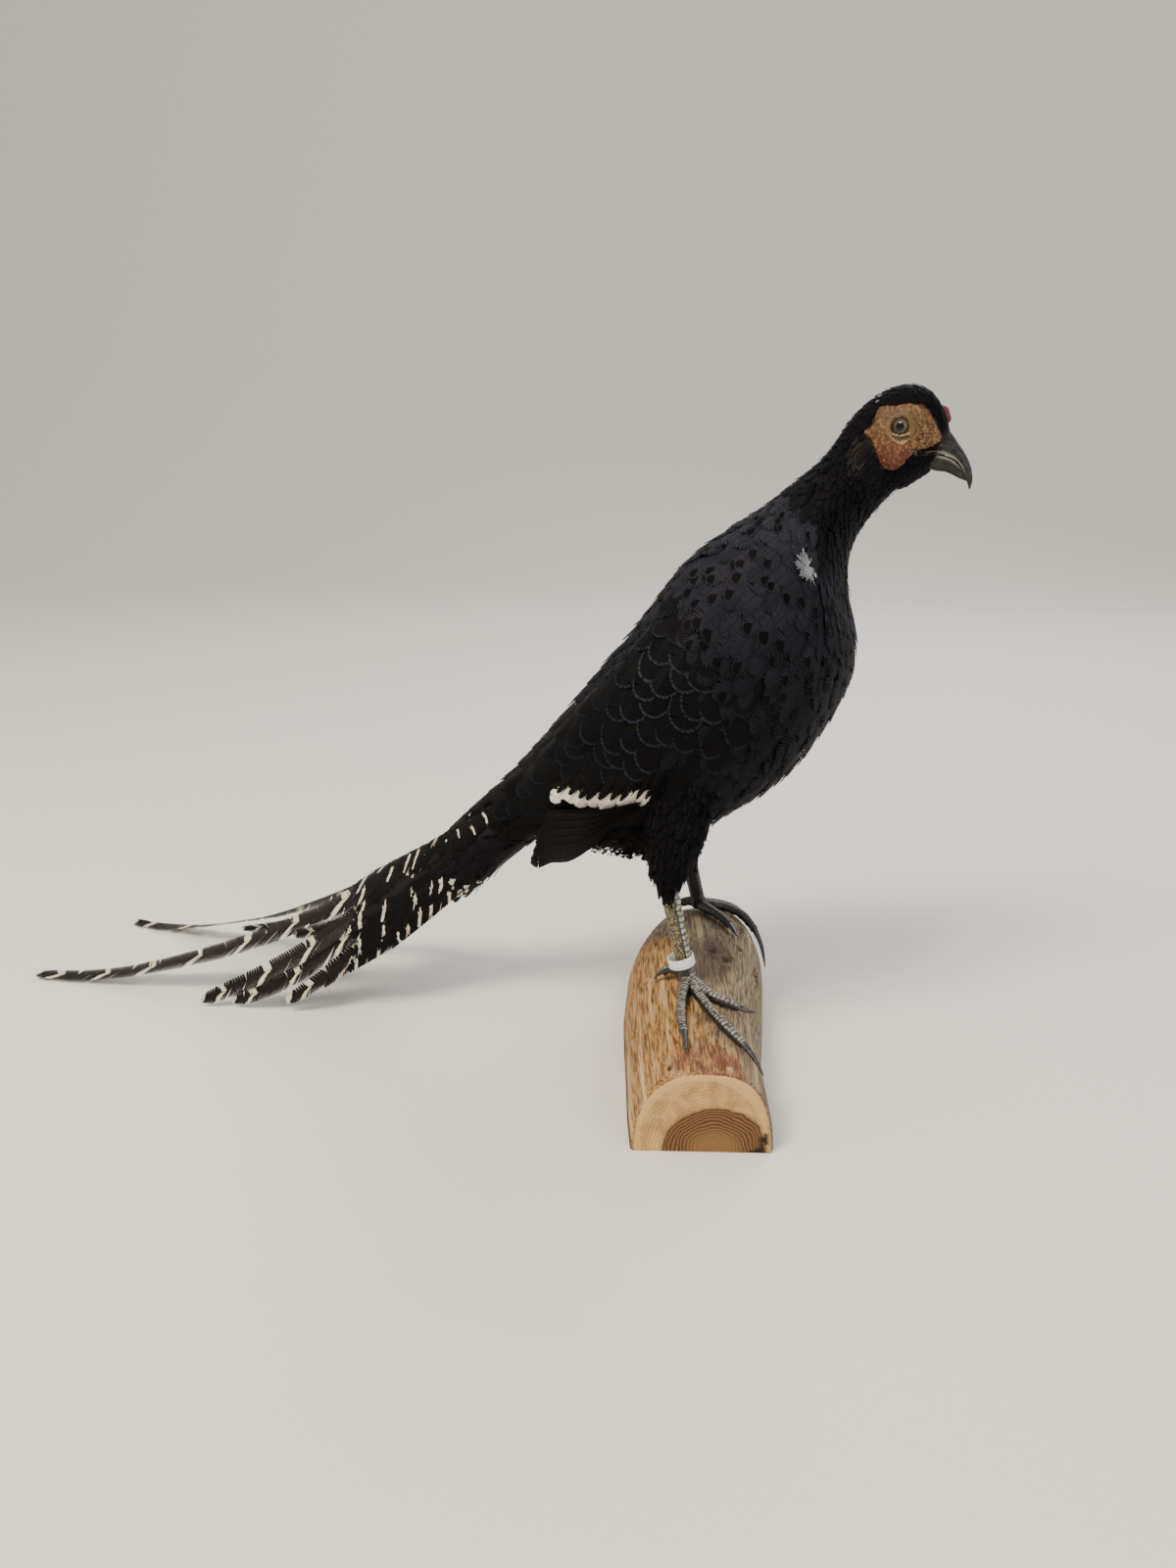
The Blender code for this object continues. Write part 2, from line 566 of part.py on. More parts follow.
def make_foot(side_name, centre, up, foot, toes, materials):
    """The pad with its ankle and four toes as one solid, and the claws as their own."""
    scaled, horn = materials
    data = bmesh.new()
    bmesh.ops.create_uvsphere(data, u_segments=PAD_SIDES, v_segments=PAD_RINGS, radius=PAD_RADIUS * MM)
    bmesh.ops.scale(data, verts=data.verts, vec=(1, 1, PAD_FLATNESS))
    bmesh.ops.translate(data, verts=data.verts, vec=centre * MM)
    pad = new_object("foot_" + side_name, data, scaled)
    ankle = tube_rings([centre, centre + up * ANKLE], [TARSUS_FOOT, TARSUS_FOOT], TARSUS_SIDES)
    boolean(pad, cutter(loft("ankle_" + side_name, ankle, scaled)), "UNION")
    for toe_name, bends, claw in toes:
        centres, radii, last_toe = toe_path(foot, bends, claw)
        steps = TOE_LENGTHS * (len(centres) - 1)
        path = path_through(centres, steps)
        keys = list(range(len(radii)))
        sizes = [max(smooth(keys, radii, i / TOE_LENGTHS), CLAW_TIP) for i in range(steps + 1)]
        rings = tube_rings(path, sizes, TOE_SIDES)
        cut = TOE_LENGTHS * last_toe
        solid = loft("toe_" + side_name + "_" + toe_name, rings[:cut + 1], scaled)
        boolean(pad, cutter(solid), "UNION")
        ahead = (path[cut + 1] - path[cut - 1]).normalized()
        first = [point + ahead * GAP for point in rings[cut]]
        loft("claw_" + side_name + "_" + toe_name, [first] + rings[cut + 1:], horn)


def make_leg_ring(foot_centre, top, material):
    """A plain closed band hanging loosely round the right tarsus."""
    toward = (top - foot_centre).normalized()
    centre = foot_centre + toward * RING_ABOVE_FOOT - Vector((RING_SLIP, 0, 0))
    data = bmesh.new()
    corners = [(RING_RADIUS - RING_WALL, -RING_HEIGHT / 2), (RING_RADIUS, -RING_HEIGHT / 2),
               (RING_RADIUS, RING_HEIGHT / 2), (RING_RADIUS - RING_WALL, RING_HEIGHT / 2)]
    rows = []
    for i in range(RING_SIDES):
        angle = 2 * math.pi * i / RING_SIDES
        rows.append([data.verts.new(Vector((r * math.cos(angle), r * math.sin(angle), z)) * MM)
                     for r, z in corners])
    for a, b in zip(rows, rows[1:] + rows[:1]):
        for i in range(4):
            j = (i + 1) % 4
            data.faces.new((a[i], a[j], b[j], b[i]))
    bmesh.ops.recalc_face_normals(data, faces=data.faces)
    ring = new_object("leg_ring", data, material)
    ring.location = centre * MM
    ring.rotation_euler = (0, -RING_TILT, 0)
    return ring


# ---- Build ----

for old in list(bpy.data.objects):
    bpy.data.objects.remove(old)
pheasant = bpy.data.collections.new("mikado_pheasant")
cutters = bpy.data.collections.new("cutters")
for group in (pheasant, cutters):
    bpy.context.scene.collection.children.link(group)

feather_black = paint("black_feathers", (0.012, 0.011, 0.016), 0.6)
feather_plum = paint("plum_feathers", (0.035, 0.026, 0.036), 0.6)
feather_wing = paint("wing_feathers", (0.020, 0.020, 0.024), 0.5)
feather_tail = paint("tail_feathers", (0.018, 0.014, 0.012), 0.5)
bare_skin = paint("bare_face_skin", (0.42, 0.20, 0.08), 0.6)
bill_horn = paint("bill_horn", (0.09, 0.085, 0.075), 0.45)
eye_glass = paint("eye_glass", (0.02, 0.014, 0.010), 0.08)
leg_scales = paint("leg_scales", (0.16, 0.14, 0.09), 0.5)
foot_scales = paint("foot_scales", (0.07, 0.065, 0.06), 0.5)
claw_horn = paint("claw_horn", (0.03, 0.025, 0.022), 0.4)
ring_plastic = paint("ring_plastic", (0.75, 0.75, 0.72), 0.4)
log_wood = paint("log_wood", (0.45, 0.31, 0.15), 0.8)

make_log(log_wood)
make_body_part("rump", RUMP, 6, feather_tail)
make_body_part("trunk", TRUNK, 13, feather_plum)
make_body_part("neck", NECK, 5, feather_black)
head = make_body_part("head", HEAD, 10, feather_black)

body_form = body_cutter("body_with_gap", (0, 9), 24, GAP)
make_bill_half("bill_upper", UPPER_BILL, bill_horn)
make_bill_half("bill_lower", LOWER_BILL, bill_horn)

for side, side_name in ((1, "right"), (-1, "left")):
    make_eye("eye_" + side_name, side, EYE_RADIUS, eye_glass)
    socket = cutter(make_eye("socket_" + side_name, side, EYE_RADIUS + GAP, eye_glass))
    wattle = make_patch("wattle_" + side_name, side, WATTLE_FROM, WATTLE_TO, wattle_outline,
                        wattle_lift, (8, 8), bare_skin)
    boolean(head, socket, "DIFFERENCE")
    boolean(wattle, socket, "DIFFERENCE")
    make_patch("wing_" + side_name, side, WING_FROM, WING_TO, wing_outline, wing_lift,
               (12, 7), feather_wing)
    wing_form = cutter(make_patch("wing_with_gap_" + side_name, side, WING_FROM - 0.02, WING_TO + 0.02,
                                  lambda t: (wing_outline(t)[0] - 1, wing_outline(t)[1] + 1),
                                  lambda t, k: wing_lift(t, k) + GAP, (12, 7), feather_wing))
    primaries = make_primaries("primaries_" + side_name, -side, feather_tail)
    boolean(primaries, body_form, "DIFFERENCE")
    boolean(primaries, wing_form, "DIFFERENCE")
    foot = FOOT_RIGHT if side == 1 else FOOT_LEFT
    toes = TOES_RIGHT if side == 1 else TOES_LEFT
    thigh_rows = THIGH_RIGHT if side == 1 else THIGH_LEFT
    x, off, z = thigh_rows[0][:3]
    hock = Vector((x, MID_Y - side * off, z))
    pad_centre = on_log(*foot, PAD_RADIUS * PAD_FLATNESS + 2 * GAP)
    up = (hock - pad_centre).normalized()
    make_foot(side_name, pad_centre, up, foot, toes, (foot_scales, claw_horn))
    thigh = make_thigh("thigh_" + side_name, -side, thigh_rows, up, feather_black)
    boolean(thigh, body_form, "DIFFERENCE")
    make_tarsus("tarsus_" + side_name, hock - up * GAP, pad_centre + up * (ANKLE + GAP), leg_scales)
    if side == 1:
        make_leg_ring(pad_centre, hock, ring_plastic)

for number, feather in enumerate(TAIL_FEATHERS):
    side_name = "right" if feather[0] < 0 else "left"
    make_tail_feather(f"tail_feather_{side_name}_{number // 2 + 1}", number, feather_tail)
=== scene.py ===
# %% [markdown]
# # A cock Mikado pheasant on a half log
# A museum mount is a dressed skin on a light form: the skin gives the outline, the feathers lie on
# it like roof tiles, and glass eyes, horn bill and scaled legs finish it. This lesson builds it in
# that order round a measured frame, one plain solid for each part of the body. The frame fixes
# every place and size; the pieces made here stand for its solids and bring the surfaces.

# %% The frame
import math

import bpy
import numpy as np
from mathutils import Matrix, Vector, noise


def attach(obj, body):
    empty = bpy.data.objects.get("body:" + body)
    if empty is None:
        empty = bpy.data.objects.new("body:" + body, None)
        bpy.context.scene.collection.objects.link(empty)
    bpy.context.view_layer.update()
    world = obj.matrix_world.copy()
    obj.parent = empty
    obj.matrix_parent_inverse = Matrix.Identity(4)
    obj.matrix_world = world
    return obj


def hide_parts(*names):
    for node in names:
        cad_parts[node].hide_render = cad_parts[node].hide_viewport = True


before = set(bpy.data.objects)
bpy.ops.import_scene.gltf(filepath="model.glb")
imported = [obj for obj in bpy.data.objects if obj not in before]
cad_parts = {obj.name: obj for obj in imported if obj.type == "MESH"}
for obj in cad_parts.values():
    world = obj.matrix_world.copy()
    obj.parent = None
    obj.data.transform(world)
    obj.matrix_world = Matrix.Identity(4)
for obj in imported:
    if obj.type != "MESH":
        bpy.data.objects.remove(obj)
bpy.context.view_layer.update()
MM = 0.001

# %% [markdown]
# ## Small tools
# Most pieces here start as a flat grid that is rolled, bent and welded into its shape, as a maker
# rolls a sheet round a form. A grid keeps its rows and columns, so scales, rings and folds are
# easy to place on it. Colours are written as sRGB hex, the way a paint chart gives them.

# %% Tools for shapes
def deselect():
    if bpy.context.mode != "OBJECT":
        bpy.ops.object.mode_set(mode="OBJECT")
    bpy.ops.object.select_all(action="DESELECT")


def weld(piece, within=0.02):
    """Merges the points of a piece that meet, and turns its faces outwards."""
    deselect()
    piece.select_set(True)
    bpy.context.view_layer.objects.active = piece
    bpy.ops.object.mode_set(mode="EDIT")
    bpy.ops.mesh.select_all(action="SELECT")
    bpy.ops.mesh.remove_doubles(threshold=within * MM)
    bpy.ops.mesh.normals_make_consistent(inside=False)
    bpy.ops.object.mode_set(mode="OBJECT")
    bpy.ops.object.shade_smooth()


def rolled_grid(name, steps, place, material):
    """Adds a flat grid and sends each point, given as u and v from 0 to 1, to place(u, v) in mm."""
    deselect()
    bpy.ops.mesh.primitive_grid_add(x_subdivisions=steps[0], y_subdivisions=steps[1], size=1.0)
    piece = bpy.context.object
    piece.name = name
    flat = np.empty(len(piece.data.vertices) * 3)
    piece.data.vertices.foreach_get("co", flat)
    spots = place(flat[0::3] + 0.5, flat[1::3] + 0.5) * MM
    piece.data.vertices.foreach_set("co", spots.ravel())
    piece.data.uv_layers[0].name = "OFBake"
    weld(piece)
    piece.data.materials.append(material)
    return piece


def join(name, pieces):
    """Makes one piece of several."""
    deselect()
    for piece in pieces:
        piece.select_set(True)
    bpy.context.view_layer.objects.active = pieces[0]
    bpy.ops.object.join()
    pieces[0].name = name
    return pieces[0]


def settle(piece, slot, *nodes):
    """Hands a finished piece to the frame's root and hides the solids it stands for. slot, its finish, is not
    used.
    """
    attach(piece, "root")
    if nodes:
        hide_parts(*nodes)
    piece.data.calc_loop_triangles()
    print(piece.name, len(piece.data.loop_triangles), "triangles")


# %% Tools for curves and soft steps
def smooth(keys, values, at):
    """The value at `at` of a smooth curve that passes through `values` at the rising `keys`."""
    keys, values, at = (np.asarray(list_, float) for list_ in (keys, values, at))
    last = len(keys) - 1
    around = np.arange(last + 1)
    low, high = np.maximum(around - 1, 0), np.minimum(around + 1, last)
    slopes = (values[high] - values[low]) / (keys[high] - keys[low])
    inside = np.clip(at, keys[0], keys[-1])
    i = np.clip(np.searchsorted(keys, inside) - 1, 0, last - 1)
    span = keys[i + 1] - keys[i]
    t = (inside - keys[i]) / span
    curve = ((2 * t ** 3 - 3 * t ** 2 + 1) * values[i] + (t ** 3 - 2 * t ** 2 + t) * span * slopes[i]
             + (3 * t ** 2 - 2 * t ** 3) * values[i + 1] + (t ** 3 - t ** 2) * span * slopes[i + 1])
    return curve + (at - inside) * np.where(at < inside, slopes[0], slopes[-1])


def ease(low, high, value):
    """Rises softly from 0 at `low` to 1 at `high`."""
    t = np.clip((value - low) / (high - low), 0, 1)
    return t * t * (3 - 2 * t)


def power(value, exponent):
    return np.sign(value) * np.abs(value) ** exponent


def dent(distance, reach):
    """1 at distance 0, fading to nothing at about twice `reach`."""
    return np.exp(-(distance / reach) ** 2)


# %% Tools for materials
def colour(hex_code):
    """Linear red, green, blue and alpha of an sRGB hex value."""
    parts = [int(hex_code[i:i + 2], 16) / 255 for i in (1, 3, 5)]
    return [c / 12.92 if c <= 0.04045 else ((c + 0.055) / 1.055) ** 2.4 for c in parts] + [1.0]


def add(tree, kind, inputs=(), **settings):
    """Adds a shader node with its settings and returns its outputs. Each input is given by its name or
    its place, as a fixed value or as the output that it is linked to."""
    made = tree.nodes.new("ShaderNode" + kind)
    for name, value in settings.items():
        setattr(made, name, value)
    for socket, value in inputs.items() if isinstance(inputs, dict) else enumerate(inputs):
        if isinstance(value, bpy.types.NodeSocket):
            tree.links.new(value, made.inputs[socket])
        else:
            made.inputs[socket].default_value = value
    return made.outputs


# A MapRange that starts and stops softly, and a Mix of colours: its share is input 0, the colours are
# inputs 6 and 7, and the mixed colour is output 2.
SOFT, TINTS = {"interpolation_type": "SMOOTHSTEP"}, {"data_type": "RGBA"}


def start_material(name, **sockets):
    """A new material and its shader, with the shader's plain sockets set."""
    material = bpy.data.materials.new(name)
    material.use_nodes = True
    shader = material.node_tree.nodes["Principled BSDF"]
    for socket, value in sockets.items():
        shader.inputs[socket.replace("_", " ")].default_value = value
    return material, material.node_tree, shader


# %% [markdown]
# ## Camera, floor and light
# The viewer stands a little above the bird's head and close to it, so a short lens is right and
# the near things look large. The floor sweeps up behind like a studio's paper roll, which
# leaves no horizon. One large soft lamp from high on the left models the form, and a weaker one
# from the right keeps the black plumage from closing up.

# %% Camera
LENS, SENSOR, NEAREST = 25.3125, 36.0, 0.01         # mm, mm, m
EYE_PLACE = (0.06267, -0.61511, 0.36396)            # m
EYE_TURN = (72.6635, 0.5312, 11.6848)               # degrees: up, tipped, to the left
camera_data = bpy.data.cameras.new("camera")
camera_data.lens = LENS
camera_data.sensor_width = SENSOR
camera_data.clip_start = NEAREST
camera = bpy.data.objects.new("camera", camera_data)
camera.location = EYE_PLACE
camera.rotation_euler = [math.radians(turn) for turn in EYE_TURN]
bpy.context.scene.collection.objects.link(camera)
bpy.context.scene.camera = camera

# %% Floor sweep
FLOOR_SIZE, FLOOR_BACK, WALL_HEIGHT, SWEEP = (9.0, 7.0, 1.0), 0.2, 5.0, 1.6     # m
deselect()
bpy.ops.mesh.primitive_plane_add(size=1.0)
floor = bpy.context.object
floor.name = "floor"
floor.scale = FLOOR_SIZE
floor.location = (0, FLOOR_BACK, 0)
bpy.ops.object.transform_apply(location=True, rotation=False, scale=True)
bpy.ops.object.mode_set(mode="EDIT")
bpy.ops.mesh.select_all(action="DESELECT")
bpy.ops.object.mode_set(mode="OBJECT")
for edge in floor.data.edges:
    edge.select = all(floor.data.vertices[i].co.y > FLOOR_BACK for i in edge.vertices)
bpy.ops.object.mode_set(mode="EDIT")
bpy.ops.mesh.select_mode(type="EDGE")
bpy.ops.mesh.extrude_region_move(TRANSFORM_OT_translate={"value": (0, 0, WALL_HEIGHT)})
bpy.ops.object.mode_set(mode="OBJECT")
curve = floor.modifiers.new("curve", "BEVEL")
curve.width = SWEEP
curve.segments = 16
curve.limit_method = "ANGLE"
bpy.ops.object.modifier_apply(modifier="curve")
bpy.ops.object.shade_smooth()
paper, tree, shader = start_material("matt_paper_roll", Roughness=0.85)
shader.inputs["Base Color"].default_value = colour("#e4e1da")
floor.data.materials.append(paper)

# %% Lamps
def lamp(name, place, aim, size, watts, tint):
    data = bpy.data.lights.new(name, "AREA")
    data.size = size
    data.energy = watts
    data.color = colour(tint)[:3]
    holder = bpy.data.objects.new(name, data)
    holder.location = place
    holder.rotation_euler = (Vector(aim) - Vector(place)).to_track_quat("-Z", "Y").to_euler()
    bpy.context.scene.collection.objects.link(holder)


AIM = (-0.05, 0.03, 0.2)
lamp("key", (-0.75, -1.0, 1.9), AIM, 0.7, 52, "#fff2e2")
lamp("fill", (1.5, -1.3, 0.9), AIM, 1.4, 14, "#f1f4ff")
lamp("rim", (0.5, 1.6, 1.6), AIM, 1.0, 20, "#ffffff")
world = bpy.data.worlds.new("pale_room")
world.use_nodes = True
world.node_tree.nodes["Background"].inputs["Color"].default_value = colour("#e8e6e2")
world.node_tree.nodes["Background"].inputs["Strength"].default_value = 0.9
bpy.context.scene.world = world

# %% [markdown]
# ## The bird's form
# The form is a row of sections from the root of the tail to the root of the bill, each an ellipse
# a little squared. Every place on the bird is then two numbers: how far along it lies, and the
# angle round it from the back. The same two numbers place the skin, the feathers and the unwrap.

# %% Sections of the body
MID_Y = 31.0
TURN_START_X, TURN_DONE_X, HEAD_TURN = 62.0, 92.0, math.radians(18)
# top x, top z, low x, low z, half width, squareness, pear
BODY = np.array([
    (-172, 114.5, -149.5, 82, 15.5, 2.0, 0.22), (-148, 140.5, -122.5, 107, 20.5, 2.0, 0.20),
    (-124.5, 163, -94, 124.5, 27, 2.0, 0.16), (-100, 190, -60, 121, 38, 2.1, 0.10),
    (-71, 225, -22, 121, 49, 2.2, 0.04), (-40.5, 262.5, 16, 145, 53, 2.2, 0.0),
    (-14.5, 296, 50, 171, 53, 2.2, -0.02), (8.5, 314.5, 76, 210, 48, 2.15, -0.02),
    (29, 327.5, 85, 243, 39, 2.1, 0.0), (44.5, 340, 78.5, 280, 30, 2.0, 0.0),
    (56.5, 349.5, 79, 303, 24, 2.0, 0.0), (65.5, 359.5, 88, 322, 19.5, 2.0, 0.0),
    (74.5, 373.5, 99, 336, 16.5, 2.1, 0.02), (87, 385, 105, 338, 15.5, 2.2, 0.06),
    (100.5, 390.5, 110, 341, 14.5, 2.2, 0.08), (112, 388.5, 115, 344.5, 12.5, 2.2, 0.08),
    (119.5, 381, 119, 348.5, 9.5, 2.1, 0.05), (125.4, 368, 122, 350.5, 6.9, 2.0, 0.0)])
BODY_END = len(BODY) - 1
WING_FROM, WING_TO, WING_MIDDLE, WING_REACH, WING_LIFT = 2.15, 6.45, 66.0, 38.0, 8.0


def turned(x, side, z):
    """A place in the bird's own upright plane, carried round with the turn of neck and head."""
    done = np.clip((x - TURN_START_X) / (TURN_DONE_X - TURN_START_X), 0, 1)
    bent = np.clip(x - TURN_START_X, 0, TURN_DONE_X - TURN_START_X)
    sway = math.tan(HEAD_TURN) * (bent * done / 2 + np.maximum(x - TURN_DONE_X, 0))
    angle = HEAD_TURN * done
    return np.stack(np.broadcast_arrays(x - side * np.sin(angle), MID_Y - sway - side * np.cos(angle), z), -1)


def section(at, angle, lift=0.0):
    """A place on the form in the bird's own plane: x, distance to the right, z."""
    rows = np.arange(len(BODY))
    top_x, top_z, low_x, low_z, half_width, square, pear = (smooth(rows, column, at) for column in BODY.T)
    up_x, up_z = top_x - low_x, top_z - low_z
    tall = np.hypot(up_x, up_z)
    c, s = np.cos(np.radians(angle)), np.sin(np.radians(angle))
    high = power(c, 2 / square) * (tall / 2 + lift)
    side = power(s, 2 / square) * (half_width + lift) * (1 - pear * c)
    return (top_x + low_x) / 2 + up_x / tall * high, side, (top_z + low_z) / 2 + up_z / tall * high


def wing_swell(at, angle):
    """How far the folded wing stands out from the flank."""
    t = np.clip((at - WING_FROM) / (WING_TO - WING_FROM), 0, 1)
    reach = WING_REACH * np.sin(math.pi * (0.05 + 0.9 * t)) ** 0.6
    off = np.abs((angle + 180) % 360 - 180) - WING_MIDDLE
    k = np.clip(0.5 + off / reach / 2, 0, 1)
    return (WING_LIFT + 1.0) * (np.sin(math.pi * t) * np.sin(math.pi * k)) ** 0.7


def body_point(at, angle, lift=0.0):
    return turned(*section(at, angle, wing_swell(at, angle) + lift))


def span_mm(place, at, angle):
    """How many mm one row along, and one degree round, come to at a place."""
    along = np.linalg.norm(place(at + 0.03, angle) - place(at - 0.03, angle), axis=-1) / 0.06
    round_ = np.linalg.norm(place(at, angle + 1.5) - place(at, angle - 1.5), axis=-1) / 3
    return along, round_


# %% [markdown]
# ## The face
# A cock pheasant's face is bare skin set with small warts, ochre round the eye and redder on the
# lobe behind the gape. The lids are smooth: a thin ring round the eye, and under it a slack fold.
# Its outline is drawn once in the head's own plane, and the relief is worked out from the
# distance to that outline and to the eye, so that both sides get it.

# %% Relief of the face
FACE_X, FACE_Z, FACE_RADIUS, FACE_SIDES = 104, 366, 14, 60
GAPE, NOTCH, LOBE, EAR_POINT = (-12, 4.8, 21), (-52, -2.0, 14), (-102, 6.0, 24), (178, 6.0, 9)
CROWN, FRONT = (133, 3.8, 19), (45, 2.4, 42)


def face_outline():
    """A round patch drawn out into corners, each with its direction, reach and spread in degrees."""
    angle = np.linspace(0, 360, FACE_SIDES, endpoint=False)
    radius = np.full(FACE_SIDES, float(FACE_RADIUS))
    for direction, reach, spread in (GAPE, NOTCH, LOBE, EAR_POINT, CROWN, FRONT):
        away = (angle - direction + 180) % 360 - 180
        radius += reach * np.exp(-(away / spread) ** 2)
    turn = np.radians(angle)
    return np.stack((FACE_X + radius * np.cos(turn), FACE_Z + radius * np.sin(turn)), 1)


FACE = face_outline()
EYE_X, EYE_Z, EYE_SIDE, EYE_RADIUS = 104.3, 369.0, 9.5, 6.2
LID_OPENING, WART_SIZE = 4.4, 1.25
BROW = np.array([(118.3, -6.5, 377.2), (120.8, -6.2, 372.8)])
BROW_REACH, BROW_OUT = 2.6, np.array((3.5, -0.6, 0.4))
FACE_LIFT = 1.7
MOUTH = ((112.7, 355.2), (124.0, 355.8))


def inside_face(x, z):
    """Distance in mm to the face's edge, above 0 inside it."""
    nearest = np.full(np.shape(x), 1e9)
    crossings = np.zeros(np.shape(x), int)
    for (ax, az), (bx, bz) in zip(FACE, np.roll(FACE, -1, axis=0)):
        run = (bx - ax) ** 2 + (bz - az) ** 2
        t = np.clip(((x - ax) * (bx - ax) + (z - az) * (bz - az)) / run, 0, 1)
        nearest = np.minimum(nearest, np.hypot(x - ax - t * (bx - ax), z - az - t * (bz - az)))
        over = (az > z) != (bz > z)
        slope = (bx - ax) / (bz - az if bz != az else 1.0)
        crossings += over & (x < ax + (z - az) * slope)
    return np.where(crossings % 2 == 1, nearest, -nearest)


def mouth_line(x, side, z):
    """Distance in mm to the crease that runs back from the bill to the corner of the mouth."""
    (ax, az), (bx, bz) = MOUTH
    t = np.clip(((x - ax) * (bx - ax) + (z - az) * (bz - az)) / ((bx - ax) ** 2 + (bz - az) ** 2), 0, 1)
    return np.where(np.abs(side) > 3, np.hypot(x - ax - t * (bx - ax), z - az - t * (bz - az)), 99.0)


def warts(x, side, z, size):
    """Round warts `size` mm apart: 1 on top of each, 0 between them."""
    heights = [noise.voronoi(Vector((a / size, 7.0 * (b > 0), c / size)))[0][0]
               for a, b, c in zip(x, side, z)]
    return 1 - np.clip(np.array(heights) * 1.6, 0, 1) ** 1.5


def lid_shape(x, z):
    """Distance from the eye, and how near a place lies to the low lid's edge, the crease and the fold."""
    off_x, off_z = x - EYE_X, z - EYE_Z
    low_edge = -4.0 + 0.05 * (off_x - 0.8) ** 2
    ring = np.maximum(np.hypot(off_x, off_z), LID_OPENING + low_edge - off_z)
    width = ease(5.4, 3.6, np.abs(off_x - 0.5))
    fold = -8.0 + 0.12 * (off_x - 1.2) ** 2
    return (ring, dent(off_z - low_edge + 0.25, 0.42) * width,
        dent(off_z + 5.6 - 0.06 * (off_x - 1) ** 2, 1.35) * width, dent(off_z - fold, 0.4)
        * ease(6.0, 4.4, np.abs(off_x - 0.4)))


def brow(x, side, z, out=0.0):
    """A red wattle that stands out over the far eye: 1 at the top of its ridge, 0 at its edge."""
    start, run = BROW[0], BROW[1] - BROW[0]
    away = np.stack(np.broadcast_arrays(x, side, z), -1) - out * BROW_OUT - start
    t = np.clip(away @ run / (run @ run), 0, 1)
    away = away - t[..., None] * run
    return (1 - 0.2 * t) * np.sqrt(np.clip(1 - (away ** 2).sum(-1) / BROW_REACH ** 2, 0, 1))


def face_relief(x, side, z):
    """Height in mm of the bare face over the form, and how much of it is bare."""
    inside = inside_face(x, z)
    bare = ease(-0.3, 0.9, inside) * (np.abs(side) > 3)
    off_x, off_z = x - EYE_X, z - EYE_Z
    ring, edge, crease, fold = lid_shape(x, z)
    lobe = ease(362, 352, z) * ease(112, 106, x)
    rough = ease(LID_OPENING + 1.4, LID_OPENING + 4.5, ring) * (1 - fold)
    height = FACE_LIFT * ease(-0.3, 5.5, inside) + 0.9 * lobe * ease(0, 4, inside)
    near = bare > 0.02
    wart = np.zeros_like(height)
    wart[near] = warts(x[near], side[near], z[near], WART_SIZE)
    height = height + (wart - 0.3) * (0.5 + 0.4 * lobe) * rough * ease(0, 1.2, inside)
    height += 0.5 * dent(ring - LID_OPENING - 0.5, 0.5) + 0.35 * edge - 1.1 * crease + 0.75 * fold
    above = ease(-1.5, 1.5, off_z + 0.3 * off_x)
    for reach in (5.9, 7.0, 8.0):
        height -= 0.3 * above * dent(ring - reach, 0.35)
    lores = ease(108, 112, x) * ease(361, 365, z) * ease(376, 371, z)
    height -= lores * 0.35 * np.abs(np.sin(off_x * 1.9 + off_z * 2.3))
    mouth = mouth_line(x, side, z)
    wattle = brow(x, side, z)
    height = height * bare - 1.2 * dent(mouth, 0.5)
    return height, np.maximum(np.maximum(bare, ease(1.35, 0.9, mouth)), ease(0.02, 0.2, wattle)), ring


# %% [markdown]
# ## One skin
# A single skin runs from the root of the bill to the root of the tail, with no seams. It lies
# under the feathers by the depth of the coat: a millimetre on the head, four on the back. On the
# face it comes up bare. Half of its rows are spent on the head, where the warts are small.

# %% Skin
SKIN_STEPS = (300, 216)
COAT_DEPTH = ([0, 1, 3, 6, 9, 11, 12.5, 17], [2.2, 2.6, 3.4, 4.0, 3.4, 2.4, 1.3, 0.9])


def coat_depth(at):
    return smooth(*COAT_DEPTH, at)


def skin_place(u, v):
    at = np.interp(u, [0, 0.03, 0.45, 0.98, 1], [0, 0, 11.8, BODY_END, BODY_END])
    full = np.interp(u, [0, 0.03, 0.98, 1], [0, 1, 1, 0])
    angle = v * 360 - 180
    x, side, z = section(at, angle, wing_swell(at, angle) - coat_depth(at))
    relief, bare, ring = face_relief(*section(at, angle))
    relief = np.where(at > 12, relief + bare * coat_depth(at), 0.0)
    hollow = ease(LID_OPENING + 0.25, LID_OPENING - 0.35, ring) * (at > 12) * (np.abs(side) > 3)
    x, side, z = section(at, angle, wing_swell(at, angle) - coat_depth(at) + relief - hollow * 5.0)
    wattle = brow(*section(at, angle)) * (at > 12)
    x, side, z = (value + out * wattle for value, out in zip((x, side, z), BROW_OUT))
    middle = section(at, 0.0), section(at, 180.0)
    centre_x, centre_z = (middle[0][0] + middle[1][0]) / 2, (middle[0][2] + middle[1][2]) / 2
    return turned(centre_x + (x - centre_x) * full, side * full, centre_z + (z - centre_z) * full)


